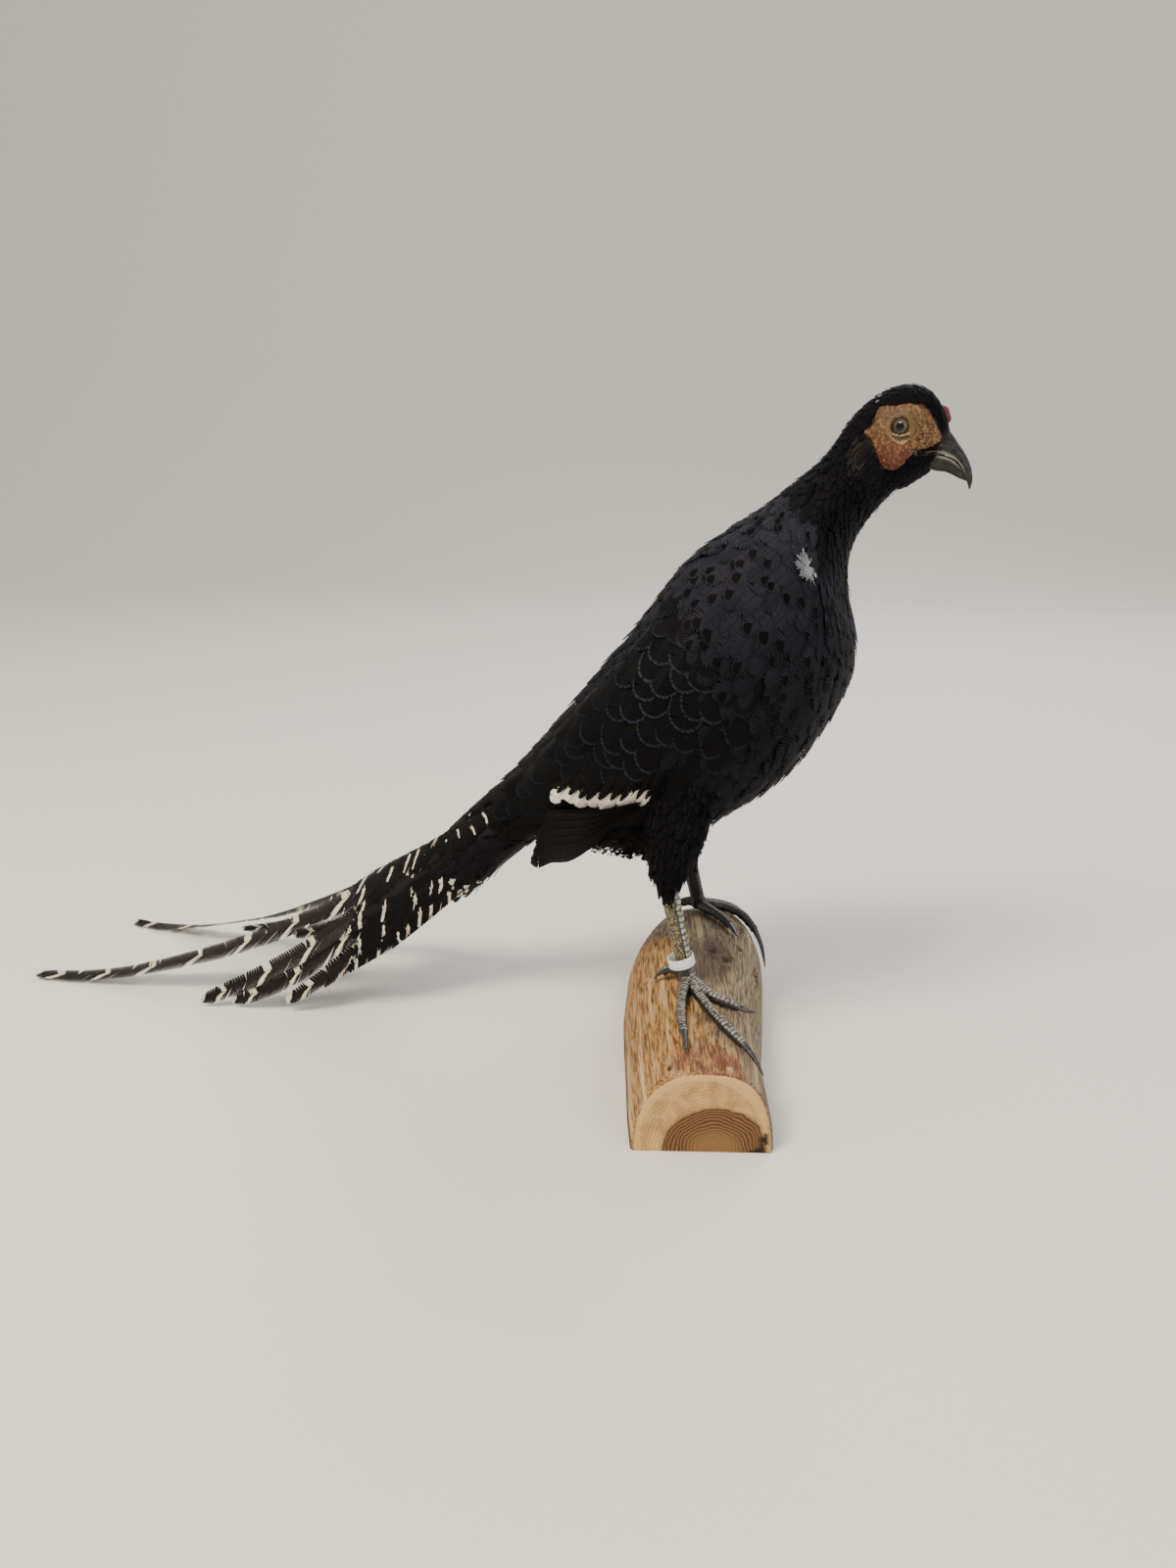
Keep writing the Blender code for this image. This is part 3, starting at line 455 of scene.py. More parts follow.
def skin_material():
    """Bare skin: dry and waxy, ochre to red-brown, with painted highlights on small flecks and painted shade
    in the pits between its warts; the lids are smooth and olive, with painted shade in their creases and
    painted highlights on their ridges; black where feathers cover it."""
    material, tree, shader = start_material("bare_pheasant_skin", Roughness=0.55, Specular_IOR_Level=0.2)
    place = add(tree, "TexCoord")["Object"]
    painted = add(tree, "Attribute", attribute_name="bare")["Color"]
    bare, lobe, wart = add(tree, "SeparateColor", {0: painted})
    painted = add(tree, "Attribute", attribute_name="lids")["Color"]
    pale, dark, olive = add(tree, "SeparateColor", {0: painted})
    blotch = add(tree, "TexNoise", {"Vector": place, "Scale": 1 / (4 * MM), "Detail": 5.0})["Fac"]
    speck = add(tree, "TexNoise", {"Vector": place, "Scale": 1 / (0.8 * MM), "Detail": 2.0})["Fac"]
    amount = add(tree, "MapRange", (blotch, 0.36, 0.62), **SOFT)[0]
    ochre = add(tree, "Mix", {0: amount, 6: colour("#7c5f3b"), 7: colour("#60442a")}, **TINTS)[2]
    amount = add(tree, "MapRange", (blotch, 0.36, 0.62), **SOFT)[0]
    red = add(tree, "Mix", {0: amount, 6: colour("#74402c"), 7: colour("#5a2b1e")}, **TINTS)[2]
    skin = add(tree, "Mix", {0: lobe, 6: ochre, 7: red}, **TINTS)[2]
    # Painted highlight: pale flecks where the fine bump of the skin stands highest.
    amount = add(tree, "MapRange", (speck, 0.55, 0.75, 0.0, 0.5), **SOFT)[0]
    skin = add(tree, "Mix", {0: amount, 6: skin, 7: colour("#b08d62")}, **TINTS)[2]
    # Painted shade in the pits between the warts.
    amount = add(tree, "MapRange", (wart, 0.6, 0.1, 0.0, 0.7), **SOFT)[0]
    skin = add(tree, "Mix", {0: amount, 6: skin, 7: colour("#3f2416")}, **TINTS)[2]
    skin = add(tree, "Mix", {0: olive, 6: skin, 7: colour("#655230")}, **TINTS)[2]
    # dark is painted shade in the creases of the lids and the mouth; pale is painted highlight on their
    # ridges.
    skin = add(tree, "Mix", {0: dark, 6: skin, 7: colour("#2e2415")}, **TINTS)[2]
    skin = add(tree, "Mix", {0: pale, 6: skin, 7: colour("#b5a47c")}, **TINTS)[2]
    height = add(tree, "SeparateXYZ", {0: place})["Z"]
    amount = add(tree, "MapRange", (height, 0.3785, 0.3815), **SOFT)[0]
    amount = add(tree, "Math", (amount, add(tree, "MapRange", (blotch, 0.4, 0.6), **SOFT)[0]),
        operation="MULTIPLY")[0]
    skin = add(tree, "Mix", {0: amount, 6: skin, 7: colour("#7d2f30")}, **TINTS)[2]
    brow_share = add(tree, "Attribute", attribute_name="brow")["Fac"]
    brow_share = add(tree, "MapRange", (brow_share, 0.05, 0.3), **SOFT)[0]
    skin = add(tree, "Mix", {0: brow_share, 6: skin,
        7: add(tree, "Mix", {0: add(tree, "MapRange", (speck, 0.4, 0.6), **SOFT)[0], 6: colour("#4f2127"),
        7: colour("#683237")}, **TINTS)[2]}, **TINTS)[2]
    feathered = add(tree, "Mix", {0: bare, 6: colour("#0b0a0d"), 7: skin}, **TINTS)[2]
    tree.links.new(feathered, shader.inputs["Base Color"])
    tree.links.new(add(tree, "Bump", {"Height": speck, "Distance": 0.25 * MM, "Strength": 0.7})[0],
        shader.inputs["Normal"])
    return material


skin = rolled_grid("skin", SKIN_STEPS, skin_place, skin_material())
print("skin:", len(skin.data.vertices), "points")

# %% [markdown]
# The thighs belong to the same skin. Each is a tapered tube with closed ends whose top lies inside
# the belly. A Boolean union melts it into the body, so no seam is left where leg and belly meet.
# On the unwrap they lie in a strip of their own beside the body.

# %% Thighs
# x, side from the mid-plane, z, radius along the body, radius across it
THIGHS = {1: [(-14.5, 51, 112, 7.6, 6.5), (-14.5, 50.5, 120, 11, 8.5), (-13, 47, 135, 16, 12),
              (-11.5, 41, 152, 20.5, 15), (-10, 33, 175, 23, 17), (-8, 19, 205, 23, 17)],
          -1: [(-14, 46, 93, 6.8, 6), (-14, 46, 103, 9.5, 8), (-13, 46, 124, 14.5, 11.5),
               (-12, 41, 147, 20, 15), (-10, 33, 175, 23, 17), (-8, 19, 205, 23, 17)]}
THIGH_COAT, BODY_STRIP, THIGH_STRIP = 1.8, 0.9, 0.08


def thigh_point(side, at, angle, lift=0.0):
    """A place on a thigh: `at` runs from 0 at the hock to 5 in the belly, the angle goes round it."""
    x, off, z, long_, wide = (smooth(np.arange(6), column, at) for column in np.array(THIGHS[side], float).T)
    c, s = np.cos(np.radians(angle)), np.sin(np.radians(angle))
    return np.stack(np.broadcast_arrays(x + (long_ + lift) * c, MID_Y - side * (off + (wide + lift) * s), z),
        -1)


def thigh_skin(side):
    def place(u, v):
        full = np.interp(u, [0, 0.05, 0.95, 1], [0, 1, 1, 0])[:, None]
        at = np.interp(u, [0.05, 0.95], [0.05, 5])
        middle = (thigh_point(side, at, 0.0) + thigh_point(side, at, 180.0)) / 2
        return middle + (thigh_point(side, at, v * 360, -THIGH_COAT) - middle) * full

    tube = rolled_grid("thigh_tube", (24, 32), place, skin.data.materials[0])
    for corner in tube.data.uv_layers[0].data:
        corner.uv = (0.01 + 0.47 * corner.uv.x + (0.5 if side < 0 else 0), BODY_STRIP + 0.01 + THIGH_STRIP
            * corner.uv.y)
    return tube


for corner in skin.data.uv_layers[0].data:
    corner.uv.y *= BODY_STRIP
for side in THIGHS:
    tube = thigh_skin(side)
    union = skin.modifiers.new("union", "BOOLEAN")
    union.operation = "UNION"
    union.object = tube
    deselect()
    bpy.context.view_layer.objects.active = skin
    bpy.ops.object.modifier_apply(modifier="union")
    bpy.data.objects.remove(tube)
print("skin with thighs:", len(skin.data.vertices), "points")

# %% Bare parts of the skin


def corner_places(piece):
    """The place in mm of each face corner of a piece."""
    points = np.empty(len(piece.data.vertices) * 3)
    piece.data.vertices.foreach_get("co", points)
    index = np.empty(len(piece.data.loops), int)
    piece.data.loops.foreach_get("vertex_index", index)
    return points.reshape(-1, 3)[index] / MM


def unturned(points):
    """Back from the turned head to the bird's own plane: x, distance to the right, z."""
    x, side = points[:, 0], np.zeros(len(points))
    for _ in range(12):
        done = np.clip((x - TURN_START_X) / (TURN_DONE_X - TURN_START_X), 0, 1)
        side = (turned(x, 0.0, 0.0)[:, 1] - points[:, 1]) / np.cos(HEAD_TURN * done)
        x = points[:, 0] + side * np.sin(HEAD_TURN * done)
    return x, side, points[:, 2]


def paint(piece, name, *values):
    """Stores up to three values from 0 to 1 at the face corners of a piece, as a colour."""
    layer = piece.data.color_attributes.new(name, "FLOAT_COLOR", "CORNER")
    layer.data.foreach_set("color", np.stack([*values, np.ones_like(values[0])], 1).ravel())


x, side, z = unturned(corner_places(skin))
inside = inside_face(x, z)
ring, edge, crease, fold = lid_shape(x, z)
mouth = mouth_line(x, side, z)
wattle = np.max([brow(x, side, z, out) for out in np.linspace(0, 1, 6)], axis=0)
bare = ease(-0.3, 0.5, inside) * (np.abs(side) > 3) * (x > 80) * (z > 340)
bare = np.maximum(np.maximum(bare, ease(1.25, 0.8, mouth)), ease(0.03, 0.25, wattle))
lobe = np.clip(ease(364, 354, z) * ease(113, 107, x) + ease(0.03, 0.25, wattle), 0, 1)
wart = np.ones_like(x)
near = (bare > 0.02) & (ring > LID_OPENING + 0.8)
wart[near] = warts(x[near], side[near], z[near], WART_SIZE)
wart = np.maximum(np.maximum(wart, ease(LID_OPENING + 3.4, LID_OPENING + 1.0, ring)), fold)
paint(skin, "bare", bare, lobe, wart)
above = ease(-1.5, 1.5, z - EYE_Z + 0.3 * (x - EYE_X))
line = np.where(z > MOUTH[0][1], dent(mouth - 0.8, 0.3), 0)
forward = ease(-2, 4, x - EYE_X) * ease(-3, 1, z - EYE_Z)
wrinkles = sum(dent(ring - reach, 0.3) for reach in (5.9, 7.0, 8.0)) * above
# pale: painted highlight on the lid's edge, the fold under the eye and the lip over the mouth crease. dark:
# painted shade in the crease under the lid, the wrinkles over the eye, the eye opening and the mouth crease.
pale = np.clip(0.6 * edge + 0.35 * fold + 0.3 * line, 0, 1)
dark = np.clip(0.9 * crease * (1 - edge) + 0.6 * wrinkles + 0.8 * ease(LID_OPENING + 0.4, LID_OPENING, ring)
    * (1 - edge) + ease(2.0, 1.4, mouth), 0, 1)
olive = np.clip(ease(8.2, 5.0, ring) * 0.75 + 0.6 * forward * ease(13, 7, ring), 0, 1)
paint(skin, "lids", pale, dark, olive)
paint(skin, "brow", wattle, wattle, wattle)
settle(skin, "face_skin", "rump", "trunk", "neck", "head", "wattle_right", "wattle_left",
       "wing_right", "wing_left", "thigh_right", "thigh_left")

# %% [markdown]
# ## Eyes
# A set glass eye is a clear cap with the iris painted on its back. Here one ball carries both: a
# brown-grey iris that darkens at its rim, a black pupil, a slight swell for the cornea, and a hard
# clear coat that takes the highlight. It sits deeper than the lids, so that they hold it.

# %% Glass eyes
IRIS_RADIUS, PUPIL_RADIUS = 4.75, 2.15


def glass_eye_material():
    """Painted iris under clear glass: the coat gives the sharp highlight."""
    material, tree, shader = start_material("glass_eye", Roughness=0.05, Specular_IOR_Level=0.12,
                                            Coat_Weight=0.35, Coat_Roughness=0.02)
    uv = add(tree, "UVMap", uv_map="OFBake")["UV"]
    out = add(tree, "SeparateXYZ", {0: uv})["Y"]
    pupil = 1 - math.asin(PUPIL_RADIUS / EYE_RADIUS) / math.pi
    rim = 1 - math.asin(IRIS_RADIUS / EYE_RADIUS) / math.pi
    rays = add(tree, "TexNoise", {"Vector": uv, "Scale": 90.0, "Detail": 2.0})["Fac"]
    amount = add(tree, "MapRange", (rays, 0.3, 0.7), **SOFT)[0]
    iris = add(tree, "Mix", {0: amount, 6: colour("#3a3328"), 7: colour("#5d5445")}, **TINTS)[2]
    amount = add(tree, "MapRange", (out, rim + 0.03, rim + 0.005, 0.0, 0.8), **SOFT)[0]
    iris = add(tree, "Mix", {0: amount, 6: iris, 7: colour("#2a231c")}, **TINTS)[2]
    amount = add(tree, "MapRange", (out, pupil - 0.012, pupil + 0.004), **SOFT)[0]
    eye = add(tree, "Mix", {0: amount, 6: iris, 7: colour("#050404")}, **TINTS)[2]
    tree.links.new(eye, shader.inputs["Base Color"])
    return material


def make_eye(name, side, material):
    deselect()
    bpy.ops.mesh.primitive_uv_sphere_add(segments=48, ring_count=32, radius=EYE_RADIUS * MM)
    eye = bpy.context.object
    eye.name = name
    for point in eye.data.vertices:
        near = point.co.z / (EYE_RADIUS * MM)
        point.co.z += 0.45 * MM * ease(0.72, 1.0, near)
    outward = turned(EYE_X, side * 10.0, EYE_Z) - turned(EYE_X, 0.0, EYE_Z)
    eye.rotation_euler = Vector(outward).to_track_quat("Z", "X").to_euler()
    eye.location = turned(EYE_X, side * EYE_SIDE, EYE_Z) * MM
    bpy.ops.object.transform_apply(location=True, rotation=True, scale=True)
    bpy.ops.object.shade_smooth()
    eye.data.uv_layers[0].name = "OFBake"
    eye.data.materials.append(material)
    return eye


eye_glass = glass_eye_material()
for side, side_name in ((1, "right"), (-1, "left")):
    settle(make_eye("glass_eye_" + side_name, side, eye_glass), "eye_glass", "eye_" + side_name)

# %% [markdown]
# ## What a feather is
# A vane is two rows of barbs on a shaft. The barbs cling together in clumps and part where the
# feather was ruffled, which gives the edge its small notches. So each vane is built of strips that
# run from the shaft to the outline, turned a little clump by clump. A few different vanes are made
# for each tract and copied along the skin, each copy bent over the form below it.

# %% Vanes
def outline(t, widest=0.58, root_width=0.45):
    """Half width of a vane at t along it, as a share of its greatest."""
    low = root_width + (1 - root_width) * ease(0, widest, t)
    high = np.sqrt(np.clip(1 - ((t - widest) / (1 - widest)) ** 2, 0, 1))
    return np.where(t < widest, low, high)


def make_vane(rng, strips, parts, split=0.03, fray=0.4, sweep=0.3, clump=3, ragged=0.08, widest=0.58,
              root_width=0.45, start=0.04):
    """One vane, flat: points as (across from -1 to 1, along from 0 to 1), and its four-sided faces."""
    points, faces = [], []
    for side in (-1, 1):
        turn = 0.0
        for i in range(strips):
            if i % clump == 0:
                turn = rng.normal(0, split)
            short = 1 - ragged * rng.random()
            edges = []
            for line in (i, i + 1):
                root = start + (1 - start) * (line / strips) ** 1.15 * 0.985
                end = min(root + sweep * (1 - root) * (0.5 + 0.5 * root) + turn, 1.0)
                edges.append((root, end))
            for p in range(parts + 1):
                f = p / parts
                pinch = fray * ease(0.55, 1.0, f) if parts > 1 else fray * f
                row = []
                for root, end in edges:
                    reach = f * short
                    across = outline(end, widest, root_width) * reach
                    row.append((side * across, root + (end - root) * reach ** 1.25))
                middle = [(a + b) / 2 for a, b in zip(*row)]
                points += [tuple(a + (m - a) * pinch for a, m in zip(point, middle)) for point in row]
                if p:
                    k = len(points)
                    corners = (k - 4, k - 3, k - 1, k - 2)
                    faces.append(corners[::side])
    return np.array(points, float), np.array(faces)


def fast_mesh(name, points, faces, material, corner_maps, point_values=None):
    """A mesh from arrays: points in mm, four-sided faces, UV maps by corner, values by point."""
    mesh = bpy.data.meshes.new(name)
    mesh.vertices.add(len(points))
    mesh.vertices.foreach_set("co", (points * MM).ravel())
    mesh.loops.add(faces.size)
    mesh.loops.foreach_set("vertex_index", faces.ravel().astype(np.int32))
    mesh.polygons.add(len(faces))
    mesh.polygons.foreach_set("loop_start", np.arange(0, faces.size, 4, dtype=np.int32))
    mesh.polygons.foreach_set("use_smooth", np.ones(len(faces), bool))
    for map_name, values in corner_maps.items():
        layer = mesh.uv_layers.new(name=map_name)
        layer.data.foreach_set("uv", values[faces.ravel()].ravel())
    for value_name, values in (point_values or {}).items():
        layer = mesh.attributes.new(value_name, "FLOAT", "POINT")
        layer.data.foreach_set("value", values.astype(np.float32))
    mesh.materials.append(material)
    mesh.update()
    mesh.validate()
    piece = bpy.data.objects.new(name, mesh)
    bpy.context.scene.collection.objects.link(piece)
    return piece


# %% Laying feathers on the form
def lattice(place, span, row_mm, gap_mm, angles, rng, loose=0.22):
    """Roots in staggered rows, as (along, angle): row_mm and gap_mm give the spacing at each row."""
    at, roots, stagger = span[0], [], 0
    while at < span[1]:
        grid = np.linspace(angles[0], angles[1], 60)
        edge = place(np.full(60, at), grid)
        walked = np.concatenate([[0], np.cumsum(np.linalg.norm(np.diff(edge, axis=0), axis=1))])
        along = np.median(span_mm(place, np.full(60, at), grid)[0])
        count = max(int(walked[-1] / gap_mm(at)), 3)
        spots = (np.arange(count) + 0.5 * stagger + 0.25 + rng.normal(0, loose, count)) / count * walked[-1]
        roots.append(np.stack([at + rng.normal(0, loose, count) * row_mm(at) / along,
                               np.interp(spots, walked, grid)], 1))
        at += row_mm(at) / along
        stagger = 1 - stagger
    return np.concatenate(roots)


def lay(name, place, roots, vanes, length, half, unwrap, material, rng, depth=3.0, lift=0.0, turn=0.1,
        twist=0.0, camber=0.9, tip_lift=0.0, mark=0.0, patch=0.003):
    """Copies vanes to the roots, each bent over place(at, angle, lift), and makes one piece of them.
    length and half width are in mm, depth is how deep the root lies, tip_lift how far the tip stands off."""
    count = len(roots)
    length, half, depth, lift, twist, tip_lift, mark = (np.broadcast_to(value, count).astype(float)
        for value in (length, half, depth, lift, twist, tip_lift, mark))
    twist = twist + rng.normal(0, turn, count)
    lift = lift + rng.normal(0, 0.12, count)
    shade = rng.random(count)
    along_mm, round_mm = span_mm(place, roots[:, 0], roots[:, 1])
    pick = rng.integers(0, len(vanes), count)
    parts = []
    for kind, (shape, faces) in enumerate(vanes):
        i = np.flatnonzero(pick == kind)[:, None]
        if not len(i):
            continue
        across, y = shape[None, :, 0], shape[None, :, 1]
        x_mm, y_mm = across * half[i], y * length[i]
        c, s = np.cos(twist[i]), np.sin(twist[i])
        at = roots[i, 0] - (y_mm * c - x_mm * s) / along_mm[i]
        angle = roots[i, 1] + (x_mm * c + y_mm * s) / round_mm[i]
        height = lift[i] - depth[i] * (1 - y) ** 1.3 - camber * across ** 2 + tip_lift[i] * y ** 3
        flat = np.stack([shape[:, 0] * 0.5 + 0.5, shape[:, 1]], 1)
        spots = unwrap(roots[i[:, 0], 0], roots[i[:, 0], 1])
        parts.append((place(at.ravel(), angle.ravel(), height.ravel()), faces, len(i), len(shape),
            np.tile(flat, (len(i), 1)), (spots[:, None] + (flat[None] - 0.5) * patch).reshape(-1, 2),
            np.repeat(shade[i[:, 0]], len(shape)), np.repeat(mark[i[:, 0]], len(shape))))
    starts = np.cumsum([0] + [len(part[0]) for part in parts])
    faces = np.concatenate([(part[1][None] + np.arange(part[2])[:, None, None] * part[3] + start).reshape(-1,
        4) for part, start in zip(parts, starts)])
    points, vane_uv, bake_uv, shades, marks = (np.concatenate([part[k] for part in parts])
        for k in (0, 4, 5, 6, 7))
    return fast_mesh(name, points, faces, material, {"OFBake": bake_uv, "Vane": vane_uv},
                     {"shade": shades, "mark": marks})


def body_unwrap(at, angle):
    """A root's place on the skin's own unwrap."""
    along = np.interp(at, [0, 11.8, BODY_END], [0.03, 0.45, 0.98])
    return np.stack([along, ((angle + 180) % 360) / 360 * BODY_STRIP], 1)

# %% [markdown]
# ## Plumage
# Black feathers are never one black. The vane is dull and slightly purple, its hidden root is
# greyer, and each tract carries its mark: a round black spot near the tip on breast and mantle, a
# steel-blue fringe on the wing coverts, a white tip in the wing bar. All of them are drawn on the
# vane's own flat map, so one material does a whole tract.
# Lower on the body the plain tracts are painted darker still, as painted shade.

# %% Feather materials
BARB_LINES = 26        # lines drawn along each vane: coarser than real barbs, so that they show
# Painted shade: below these heights the black of the plain tracts is darkened towards the belly.
PAINTED_SHADE_BELOW = 0.2, 0.34        # heights in m between which the black deepens towards the belly


def feather_material(name, deep, pale, roughness, fringe=None, spot=None, tip=None, band=None, edge=None,
                     tip_from=0.79):
    """A black vane. fringe: colour of a crescent round the tip. spot: colour of a dot near the tip on
    marked feathers. tip: colour of the tip of marked feathers. band: colour of cross bars. edge: colour
    of a narrow paler margin, painted as a highlight along the vane's edge."""
    material, tree, shader = start_material(name, Roughness=roughness, Specular_IOR_Level=0.07)
    flat = add(tree, "SeparateXYZ", {0: add(tree, "UVMap", uv_map="Vane")["UV"]})
    off = add(tree, "Math", (flat["X"], 0.5), operation="SUBTRACT")[0]
    off = add(tree, "Math", (off, 2.0), operation="MULTIPLY")[0]
    off = add(tree, "Math", (off,), operation="ABSOLUTE")[0]
    along = flat["Y"]
    shade = add(tree, "Attribute", attribute_name="shade")["Fac"]
    mark = add(tree, "Attribute", attribute_name="mark")["Fac"]
    lines = add(tree, "Math", (along, add(tree, "Math", (off, 0.22), operation="MULTIPLY")[0]),
        operation="SUBTRACT")[0]
    lines = add(tree, "Math", (lines, 2 * math.pi * BARB_LINES), operation="MULTIPLY")[0]
    lines = add(tree, "Math", (lines,), operation="SINE")[0]
    place = add(tree, "TexCoord")["Object"]
    fine = add(tree, "TexNoise", {"Vector": place, "Scale": 1 / (1.6 * MM)})
    tone = add(tree, "Math", (shade, fine["Fac"]), operation="ADD")[0]
    tone = add(tree, "Math", (tone, 0.5), operation="MULTIPLY")[0]
    vane = add(tree, "Mix", {0: tone, 6: colour(deep), 7: colour(pale)}, **TINTS)[2]
    rim = add(tree, "Math", (off, 2.0), operation="POWER")[0]
    rim = add(tree, "Math", (rim, add(tree, "Math", (add(tree, "Math",
        (add(tree, "Math", (along, 0.58), operation="SUBTRACT")[0], 0.42), operation="DIVIDE")[0], 2.0),
        operation="POWER")[0]), operation="ADD")[0]
    rim = add(tree, "Math", (rim,), operation="SQRT")[0]
    # The paler margin is a painted highlight along the vane's edge, so that overlapping vanes stand apart.
    if edge:
        amount = add(tree, "MapRange", (off, 0.72, 0.92), **SOFT)[0]
        vane = add(tree, "Mix", {0: amount, 6: vane, 7: colour(edge)}, **TINTS)[2]
    if fringe:
        share = add(tree, "MapRange", (rim, 0.87, 0.92), **SOFT)[0]
        share = add(tree, "Math", (share, add(tree, "MapRange", (rim, 1.02, 0.97), **SOFT)[0]),
            operation="MULTIPLY")[0]
        share = add(tree, "Math", (share, add(tree, "MapRange", (along, 0.5, 0.74), **SOFT)[0]),
            operation="MULTIPLY")[0]
        share = add(tree, "Math", (share, mark), operation="MULTIPLY")[0]
        share = add(tree, "Math", (share, add(tree, "MapRange", (fine["Fac"], 0.3, 0.5), **SOFT)[0]),
            operation="MULTIPLY")[0]
        vane = add(tree, "Mix", {0: share, 6: vane, 7: colour(fringe)}, **TINTS)[2]
    if spot:
        wide = add(tree, "Math", (off, add(tree, "MapRange", (along, 0.7, 0.9, 0.14, 0.44), **SOFT)[0]),
            operation="DIVIDE")[0]
        away = add(tree, "Math", (wide, 2.0), operation="POWER")[0]
        away = add(tree, "Math", (away, add(tree, "Math",
            (add(tree, "Math", (add(tree, "Math", (along, 0.84), operation="SUBTRACT")[0], 0.12),
            operation="DIVIDE")[0], 2.0), operation="POWER")[0]), operation="ADD")[0]
        away = add(tree, "Math", (away,), operation="SQRT")[0]
        amount = add(tree, "MapRange", (away, 1.15, 0.85), **SOFT)[0]
        amount = add(tree, "Math", (amount, mark), operation="MULTIPLY")[0]
        vane = add(tree, "Mix", {0: amount, 6: vane, 7: colour(spot)}, **TINTS)[2]
    if tip:
        wave = add(tree, "Math", (fine["Fac"], 0.5), operation="SUBTRACT")[0]
        wave = add(tree, "Math", (wave, 0.2), operation="MULTIPLY")[0]
        wave = add(tree, "Math", (wave, add(tree, "Math",
            (add(tree, "Math", (off, 0.35), operation="SUBTRACT")[0], -0.22), operation="MULTIPLY")[0]),
            operation="ADD")[0]
        share = add(tree, "Math", (along, wave), operation="ADD")[0]
        share = add(tree, "MapRange", (share, tip_from, tip_from + 0.025), **SOFT)[0]
        amount = add(tree, "Math", (share, mark), operation="MULTIPLY")[0]
        vane = add(tree, "Mix", {0: amount, 6: vane, 7: colour(tip)}, **TINTS)[2]
    if band:
        run = add(tree, "Math", (along, add(tree, "Math", (off, 0.05), operation="MULTIPLY")[0]),
            operation="SUBTRACT")[0]
        run = add(tree, "Math", (run, add(tree, "Math", (fine["Fac"], 0.03), operation="MULTIPLY")[0]),
            operation="ADD")[0]
        near = add(tree, "Math", (run, 0.21), operation="PINGPONG")[0]
        amount = add(tree, "MapRange", (near, 0.035, 0.022), **SOFT)[0]
        amount = add(tree, "Math", (amount, mark), operation="MULTIPLY")[0]
        vane = add(tree, "Mix", {0: amount, 6: vane, 7: colour(band)}, **TINTS)[2]
    shaft = add(tree, "MapRange", (off, 0.06, 0.02, 0.0, 0.5), **SOFT)[0]
    vane = add(tree, "Mix", {0: shaft, 6: vane, 7: colour("#050406")}, **TINTS)[2]
    # Painted shade: the plain tracts are mixed towards near black below these heights, where top light leaves
    # the body dark.
    if not (tip or band):
        height = add(tree, "SeparateXYZ", {0: place})["Z"]
        amount = add(tree, "MapRange", (height, *PAINTED_SHADE_BELOW, 0.75, 0.0), **SOFT)[0]
        vane = add(tree, "Mix", {0: amount, 6: vane, 7: colour("#030303")}, **TINTS)[2]
    tree.links.new(vane, shader.inputs["Base Color"])
    tree.links.new(add(tree, "Bump", {"Height": lines, "Distance": 0.12 * MM, "Strength": 0.5})[0],
        shader.inputs["Normal"])
    return material


spotted_black = feather_material("spotted_black_feather", "#18181f", "#2d2c36", 0.55, spot="#000000")
plain_black = feather_material("plain_black_feather", "#070608", "#110f14", 0.52)
fringed_black = feather_material("steel_fringed_feather", "#060507", "#0e0d10", 0.55, fringe="#414855")
brown_black = feather_material("brown_black_feather", "#050403", "#0b0907", 0.5, tip="#e6dcc6",
    edge="#17110d", tip_from=0.6)
barred_black = feather_material("barred_covert_feather", "#0a0807", "#15110f", 0.45, band="#cfc5ae")
white_tipped = feather_material("white_tipped_feather", "#080708", "#121014", 0.5, tip="#cbc5b6",
    tip_from=0.9)
white_down = feather_material("white_neck_feather", "#6c6f77", "#b9bcc1", 0.6)
ear_brown = feather_material("brown_ear_feather", "#0b0a09", "#38312c", 0.6)

# %% Vanes for each tract
rng = np.random.default_rng(11)
head_vanes = [make_vane(rng, 5, 1, split=0.05, sweep=0.4, clump=2) for _ in range(4)]
neck_vanes = [make_vane(rng, 7, 2, split=0.05, sweep=0.4, clump=2, fray=0.55) for _ in range(4)]
body_vanes = [make_vane(rng, 14, 2, split=0.028, clump=3, fray=0.5) for _ in range(6)]
covert_vanes = [make_vane(rng, 18, 2, split=0.012, clump=5, fray=0.3, ragged=0.03, widest=0.6, root_width=0.6)
                for _ in range(5)]
point_vanes = [make_vane(rng, 14, 2, split=0.012, clump=5, fray=0.3, ragged=0.03, widest=0.25, root_width=0.8)
               for _ in range(3)]
loose_vanes = [make_vane(rng, 14, 2, split=0.07, clump=2, fray=0.85, sweep=0.5, ragged=0.3) for _ in range(5)]


def shag(count, part):
    return 1 + part * rng.normal(0, 1, count)


# %% [markdown]
# One lattice covers the whole bird. Its rows stand one millimetre apart at the bill and eight on
# the back, because a feather is as long as the part it covers is wide. Roots that fall on the
# bare face or under the folded wing are left out, and the rest is parted into tracts.

# %% Coat of the body
ROW_MM = ([0, 5, 7.5, 9, 10, 12, 14, 17], [8, 8, 7.5, 5.2, 3.6, 2.0, 1.35, 1.05])


def row_mm(at):
    return float(np.interp(at, *ROW_MM))


def gap_mm(at):
    return 1.2 * row_mm(at)


